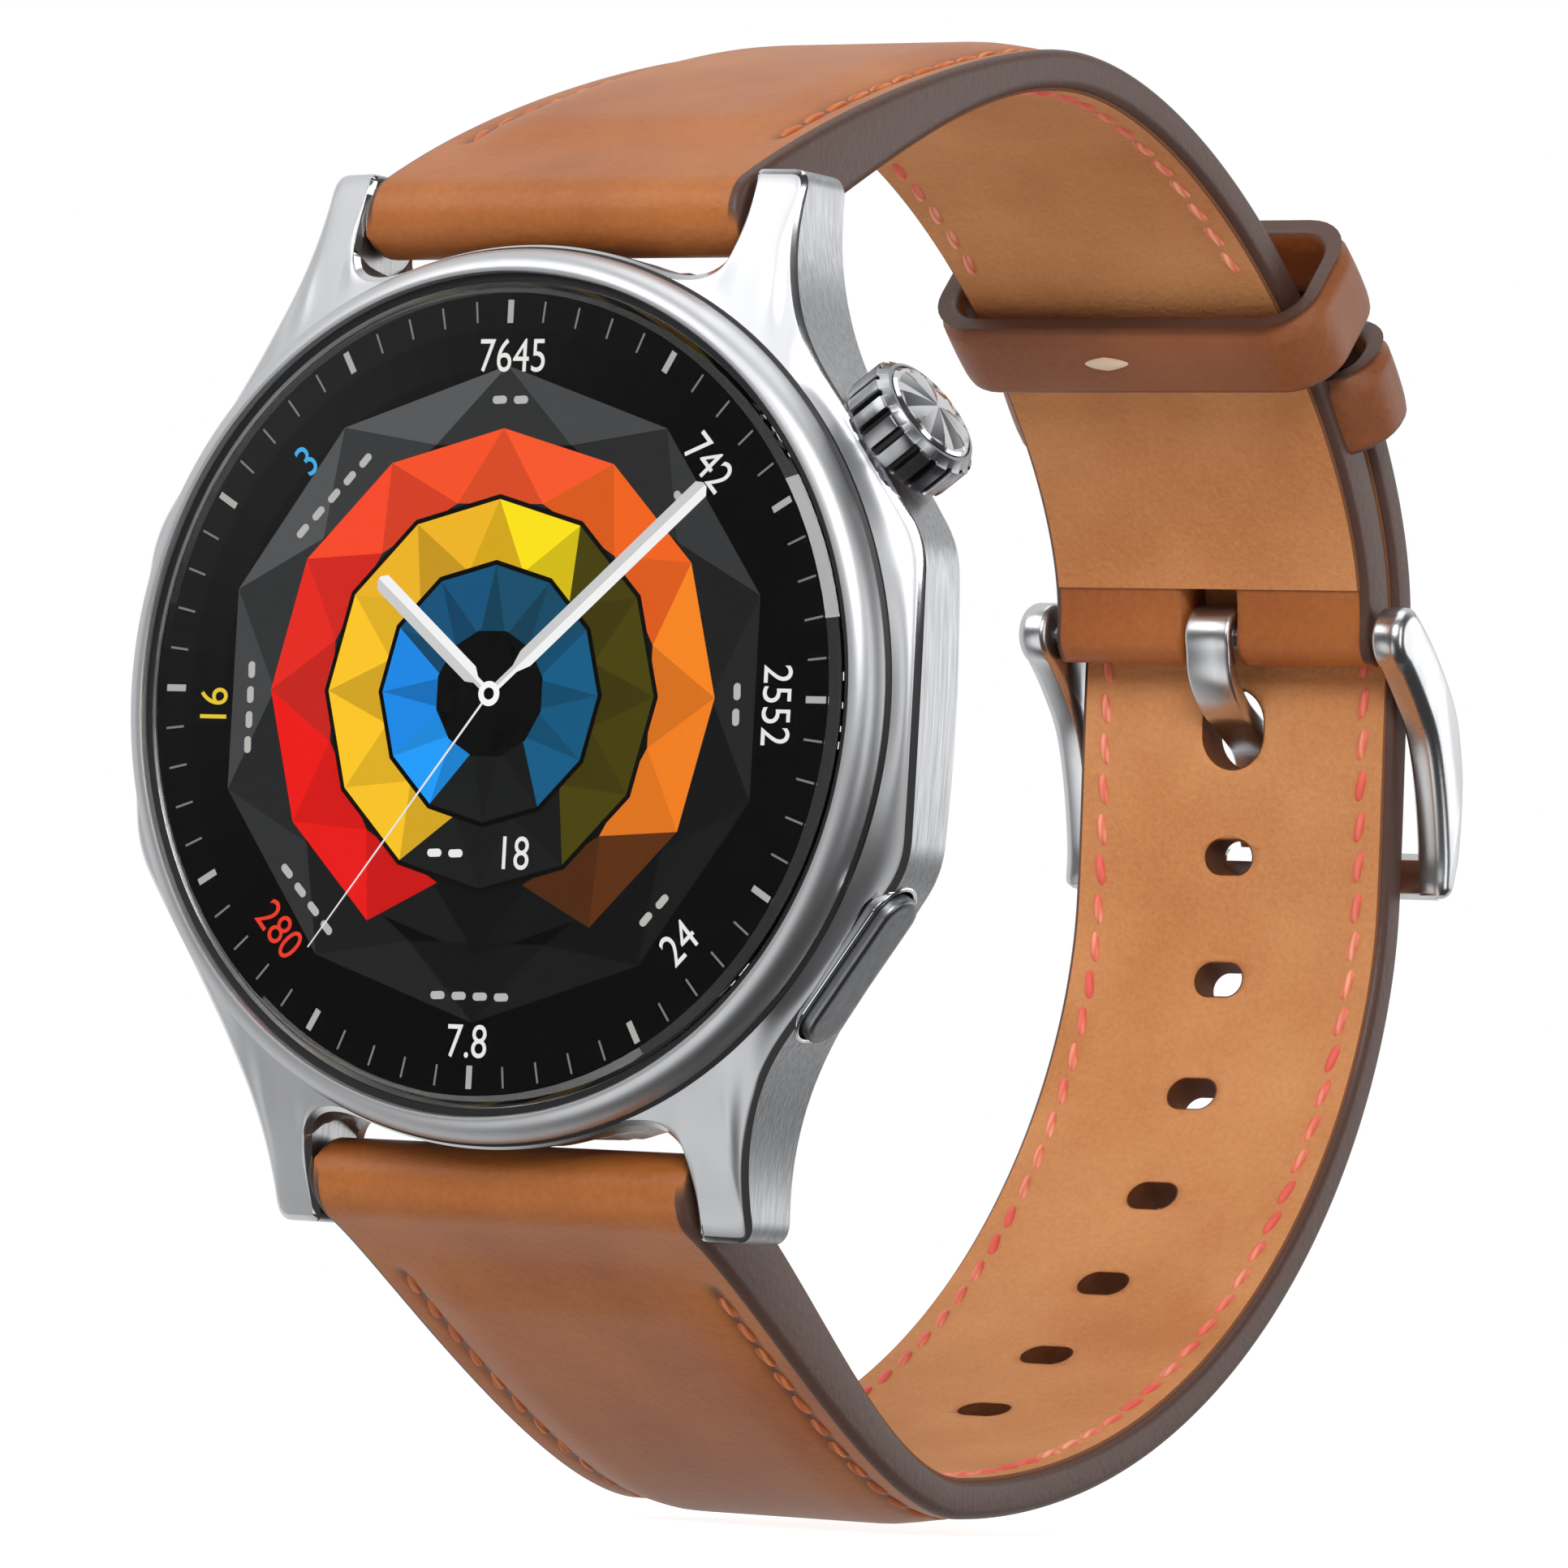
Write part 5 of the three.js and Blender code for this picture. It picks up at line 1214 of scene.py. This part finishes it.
def loop_outline(left, low, right, high, radius):
    """A rounded rectangle as X and height corners: four arcs, with points along the straight runs between them."""
    corners = ((right - radius, high - radius, 0), (left + radius, high - radius, 90),
               (left + radius, low + radius, 180), (right - radius, low + radius, 270))
    arcs = []
    for x, out, start in corners:
        a = np.radians(start + np.linspace(0, 90, 9))
        arcs.append(np.stack([x + radius * np.cos(a), out + radius * np.sin(a)], axis=1))
    runs = []
    for k, arc in enumerate(arcs):
        ahead = arcs[(k + 1) % 4][0]
        t = np.linspace(0, 1, 22)[1:-1, None]
        runs += [arc, (1 - t) * arc[-1] + t * ahead]
    return np.concatenate(runs)


def on_strap(x, lengthwise, out, along):
    """Points from X, a distance on along the upper path, and a height out from it, all about one length along it."""
    here, ahead, normal = spot(upper_path, along, 1)
    place = here + lengthwise[..., None] * ahead + out[..., None] * normal
    return np.stack([x, FRONT_Y + place[..., 0], place[..., 1]], axis=-1)


def keeper(name, low, inner_run, along, material):
    """A leather loop: its section runs from the inner outline to the outer one, with rounded painted rims. The faces
    bow a little: height = 0.1 (1 - w^2), with w from -1 to 1 across the loop's width."""
    inside = loop_outline(-KEEPER_HALF, low, KEEPER_HALF, KEEPER_OUT, 1.75)
    outside = loop_outline(-KEEPER_HALF - KEEPER_THICK, low - inner_run, KEEPER_HALF + KEEPER_THICK,
                           KEEPER_OUT + KEEPER_THICK, 3.0)
    turn = np.radians(np.linspace(0, 90, 5))
    rim, half = 0.42, KEEPER_WIDTH / 2
    w = np.linspace(-1, 1, 9)[1:-1] * (half - rim)
    face_lift = -0.1 * (w / half) ** 2
    corner_w = half - rim + rim * np.sin(turn)
    corner_u = 1.2 - rim + rim * np.cos(turn)
    width = np.concatenate([w, corner_w, corner_w[::-1], -w, -corner_w, -corner_w[::-1]])
    depth = np.concatenate([KEEPER_THICK + face_lift, corner_u, KEEPER_THICK - corner_u, 0 * w,
                            KEEPER_THICK - corner_u, corner_u])
    mask = np.concatenate([np.zeros(7), [0, 0.3], np.ones(6), [0.3, 0], np.zeros(7), [0, 0.3], np.ones(6), [0.3, 0]])
    share = np.clip(depth / KEEPER_THICK, 0, 1)[:, None, None]
    place = (1 - share) * inside + share * outside
    rings = on_strap(place[..., 0], np.repeat(width[:, None], place.shape[1], axis=1), place[..., 1], along)
    masks = np.repeat(mask[:, None], place.shape[1], axis=1)
    return solid(name, rings, quads(*rings.shape[:2], True, True), material, sharp=60, masks={"edge_paint_and_groove_shade": masks})


# The keepers are the strap's own leather, coloured darker than it: painted shade.
keeper_leather = leather("keeper_leather", (150, 86, 42), (122, 64, 28), EDGE_PAINT_AND_GROOVE_SHADE, 2600, 0.4, 0.56, 0.3, coat=0.08)
free_keeper = keeper("free_keeper_loop", FREE_LOW, KEEPER_THICK, FREE_ALONG, keeper_leather)
fixed_keeper = keeper("fixed_keeper_loop", FIXED_LOW, FIXED_RUN, FIXED_ALONG, keeper_leather)
staple_turn = np.linspace(0, 2 * np.pi, 24, endpoint=False)
staple_scale = np.array([0.55, 0.9, 1.0, 1.0, 0.8, 0.4])[:, None]
staple_height = FREE_LOW - KEEPER_THICK - np.array([-0.35, -0.3, -0.2, 0.06, 0.2, 0.26])[:, None] + 0 * staple_turn
staple_x = -1.1 + 1.35 * staple_scale * np.cos(staple_turn)
staple_w = 0.45 * staple_scale * np.sin(staple_turn) * (1 - 0.35 * np.abs(np.cos(staple_turn)))
staple_thread = thread("staple_thread", (226, 204, 178), (240, 224, 202), (214, 190, 160))
staple = loft("keeper_staple_stitch", on_strap(staple_x, staple_w, staple_height, FREE_ALONG), staple_thread)
for piece, node, slot_name, body in ((free_keeper, "free_keeper", "keeper_leather", "loose_keeper"),
                                     (fixed_keeper, "fixed_keeper", "keeper_leather", "buckle_end"),
                                     (staple, "keeper_staple", "cream_thread", "loose_keeper")):
    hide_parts(node)
    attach(piece, body)

# ------------------------------------------------------------------ buckle
# A polished steel buckle: two tusk-shaped arms with bevelled edges turn on a pin through the strap's fold, and a
# cross bar joins their tips. Its tongue is a bent steel strip curled round the pin, and lies on the cross bar.

ARM_INNER = TAIL_HALF + 0.4
ARM_OUTER = ARM_INNER + 1.9


def curve_through(points, count):
    """A smooth curve through points, spaced evenly along its length. Catmull-Rom:
    p = 0.5 (2b + (c - a) t + (2a - 5b + 4c - d) t^2 + (3b - a - 3c + d) t^3)."""
    p = np.array(points, float)
    p = np.vstack([2 * p[0] - p[1], p, 2 * p[-1] - p[-2]])
    t = np.linspace(0, 1, 24, endpoint=False)[:, None]
    parts = [0.5 * (2 * b + (c - a) * t + (2 * a - 5 * b + 4 * c - d) * t ** 2 + (3 * b - a - 3 * c + d) * t ** 3)
             for a, b, c, d in zip(p[:-3], p[1:-2], p[2:-1], p[3:])]
    path, lengths = measured(np.vstack([*parts, p[-2:-1]]))
    even = np.linspace(0, lengths[-1], count)
    return np.stack([np.interp(even, lengths, path[:, k]) for k in (0, 1)], axis=1)


def crosswise(name, outline, levels, material, sharp=40):
    """A solid across the strap from a closed outline of depth and height about the pin. Each level is an X and an
    inset, by which the outline shrinks along its own normals."""
    ahead = np.roll(outline, -1, axis=0) - np.roll(outline, 1, axis=0)
    normal = np.stack([ahead[:, 1], -ahead[:, 0]], axis=1) / np.linalg.norm(ahead, axis=1)[:, None]
    x0, y0 = outline.T
    x1, y1 = np.roll(outline, -1, axis=0).T
    normal *= np.sign((x0 * y1 - x1 * y0).sum())
    rings = []
    for x, inset in levels:
        place = outline - inset * normal
        rings.append(np.column_stack([np.full(len(place), x), FRONT_Y + BUCKLE_DEPTH + place[:, 0],
                                      BUCKLE_Z + place[:, 1]]))
    return loft(name, np.stack(rings), material, sharp=sharp)


head_turn = np.radians(np.linspace(84, 250, 26))
arm_outline = np.concatenate([
    1.75 * np.stack([np.cos(head_turn), np.sin(head_turn)], axis=1),
    curve_through([(-0.45, -1.72), (1.2, -3.3), (2.9, -5.4), (4, -8.2), (4.75, -11.5), (4.8, -13.3)], 30)[1:],
    [(4.95, -13.72), (5.3, -13.88), (5.75, -13.85), (6.1, -13.62)],
    curve_through([(6.3, -13.2), (6.75, -11.4), (6.85, -8.5), (6.6, -6.3), (5.5, -3.3), (3, -0.4), (0.4, 1.7)],
                  36)[:-1]])


buckle_steel = metal("buckle_steel", (222, 223, 225), (196, 198, 201), (900, 900, 90), 0.2, 0.32, 0.05)
arm_levels = [(0.0, 0.3), (0.1, 0.13), (0.24, 0.02), (0.32, 0.0), (1.2, 0.0), (1.42, 0.04), (1.68, 0.2), (1.84, 0.42),
              (1.9, 0.62)]
arms = [crosswise(f"arm_{sign}", arm_outline, [(sign * (ARM_INNER + x), inset) for x, inset in arm_levels],
                  buckle_steel) for sign in (-1, 1)]
bar_outline = np.concatenate([curve_through([(4.9, -13.6), (5.3, -13.9), (6, -13.88), (6.5, -13.3)], 9),
                              curve_through([(6.72, -12.6), (6.72, -11.9), (6.3, -11.45), (5.3, -11.42)], 9),
                              [(4.9, -11.8), (4.85, -12.6)]])
cross_bar = crosswise("cross_bar", bar_outline, [(-ARM_OUTER + 0.7, 0), (ARM_OUTER - 0.7, 0)], buckle_steel)
NOTCH_HALF = 1.65
notch = np.array([[x * NOTCH_HALF, FRONT_Y + BUCKLE_DEPTH + d, BUCKLE_Z + z] for z in (-12.1, -10.7)
                  for x, d in ((-1, 4), (1, 4), (1, 8), (-1, 8))])
buckle = carve(combine(arms[0], "UNION", [arms[1], cross_bar]), loft("notch", notch.reshape(2, 4, 3), buckle_steel))
buckle.name = "buckle_loop"
buckle.data.shade_smooth()
buckle.data.set_sharp_from_angle(angle=math.radians(40))

TONGUE_CURL = 1.28
curl = np.radians(np.linspace(-35, 205, 40))
tongue_path = np.concatenate([
    TONGUE_CURL * np.stack([np.cos(curl), np.sin(curl)], axis=1),
    curve_through([(-1.16, -0.54), (-0.6, -2.3), (0.9, -3.8), (3, -4.9), (4.8, -6.1), (5.5, -8.2), (5.6, -11.3)],
                  60)[1:]])
tongue_ahead = np.gradient(tongue_path, axis=0)
tongue_ahead /= np.linalg.norm(tongue_ahead, axis=1, keepdims=True)
tongue_out = np.stack([tongue_ahead[:, 1], -tongue_ahead[:, 0]], axis=1)
tongue_half = np.interp(np.arange(len(tongue_path)), [0, 39, 52, 92, 98], [0.4, 0.4, 0.51, 0.5, 0.34])
tongue_reach = np.interp(np.arange(len(tongue_path)), [0, 39, 80, 94, 98], [1.4, 1.4, 1.36, 1.28, 1.1])
bevel = np.radians(np.linspace(0, 90, 4))
TONGUE_CORNER = 0.24
corner_x = tongue_reach[:, None] - TONGUE_CORNER + TONGUE_CORNER * np.sin(bevel)
corner_n = tongue_half[:, None] - TONGUE_CORNER + TONGUE_CORNER * np.cos(bevel)
tongue_x = np.concatenate([corner_x, corner_x[:, ::-1], -corner_x, -corner_x[:, ::-1]], axis=1)
tongue_n = np.concatenate([corner_n, -corner_n[:, ::-1], -corner_n, corner_n[:, ::-1]], axis=1)
tongue_place = tongue_path[:, None] + tongue_n[..., None] * tongue_out[:, None]
tongue = loft("tongue", np.stack([tongue_x, FRONT_Y + BUCKLE_DEPTH + tongue_place[..., 0],
                                  BUCKLE_Z + tongue_place[..., 1]], axis=-1), buckle_steel, sharp=50)
for piece, node, body in ((buckle, "buckle_frame", "buckle"), (tongue, "buckle_tongue", "tongue")):
    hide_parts(node)
    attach(piece, body)

# ------------------------------------------------------------------ bars, pins and inner parts
# The remaining parts keep their CAD shapes: the spring bars and pins between the lugs, the crown's stem, and
# everything inside the case. Each gets the finish of its own material.

finishes = {
    "satin_steel": brushed_steel,
    "polished_steel": polished_steel,
    "dark_steel": metal("dark_steel", (120, 121, 124), (84, 85, 88), (2500, 2500, 400), 0.25, 0.42, 0.3),
    "black_plastic": black_plastic,
    "black_rubber": matt("black_rubber", (26, 26, 27), 0.3, 0.8, 1800, 0.3),
    "circuit_board": matt("circuit_board", (24, 84, 58), 0.35, 0.45, 700, 0.2),
    "battery_foil": metal("battery_foil", (196, 198, 202), (150, 152, 158), (500, 500, 500), 0.3, 0.5, 0.6),
    "copper_winding": metal("copper_winding", (214, 126, 78), (160, 84, 48), (4000, 4000, 4000), 0.25, 0.4, 0.5),
    "brass_clip": metal("brass_clip", (214, 178, 100), (168, 132, 62), (1500, 1500, 300), 0.22, 0.4, 0.3),
}
for node in nodes.values():
    for socket in node.material_slots:
        finish = finishes.get(socket.material.name.split(".")[0]) if socket.material else None
        if finish:
            socket.material = finish
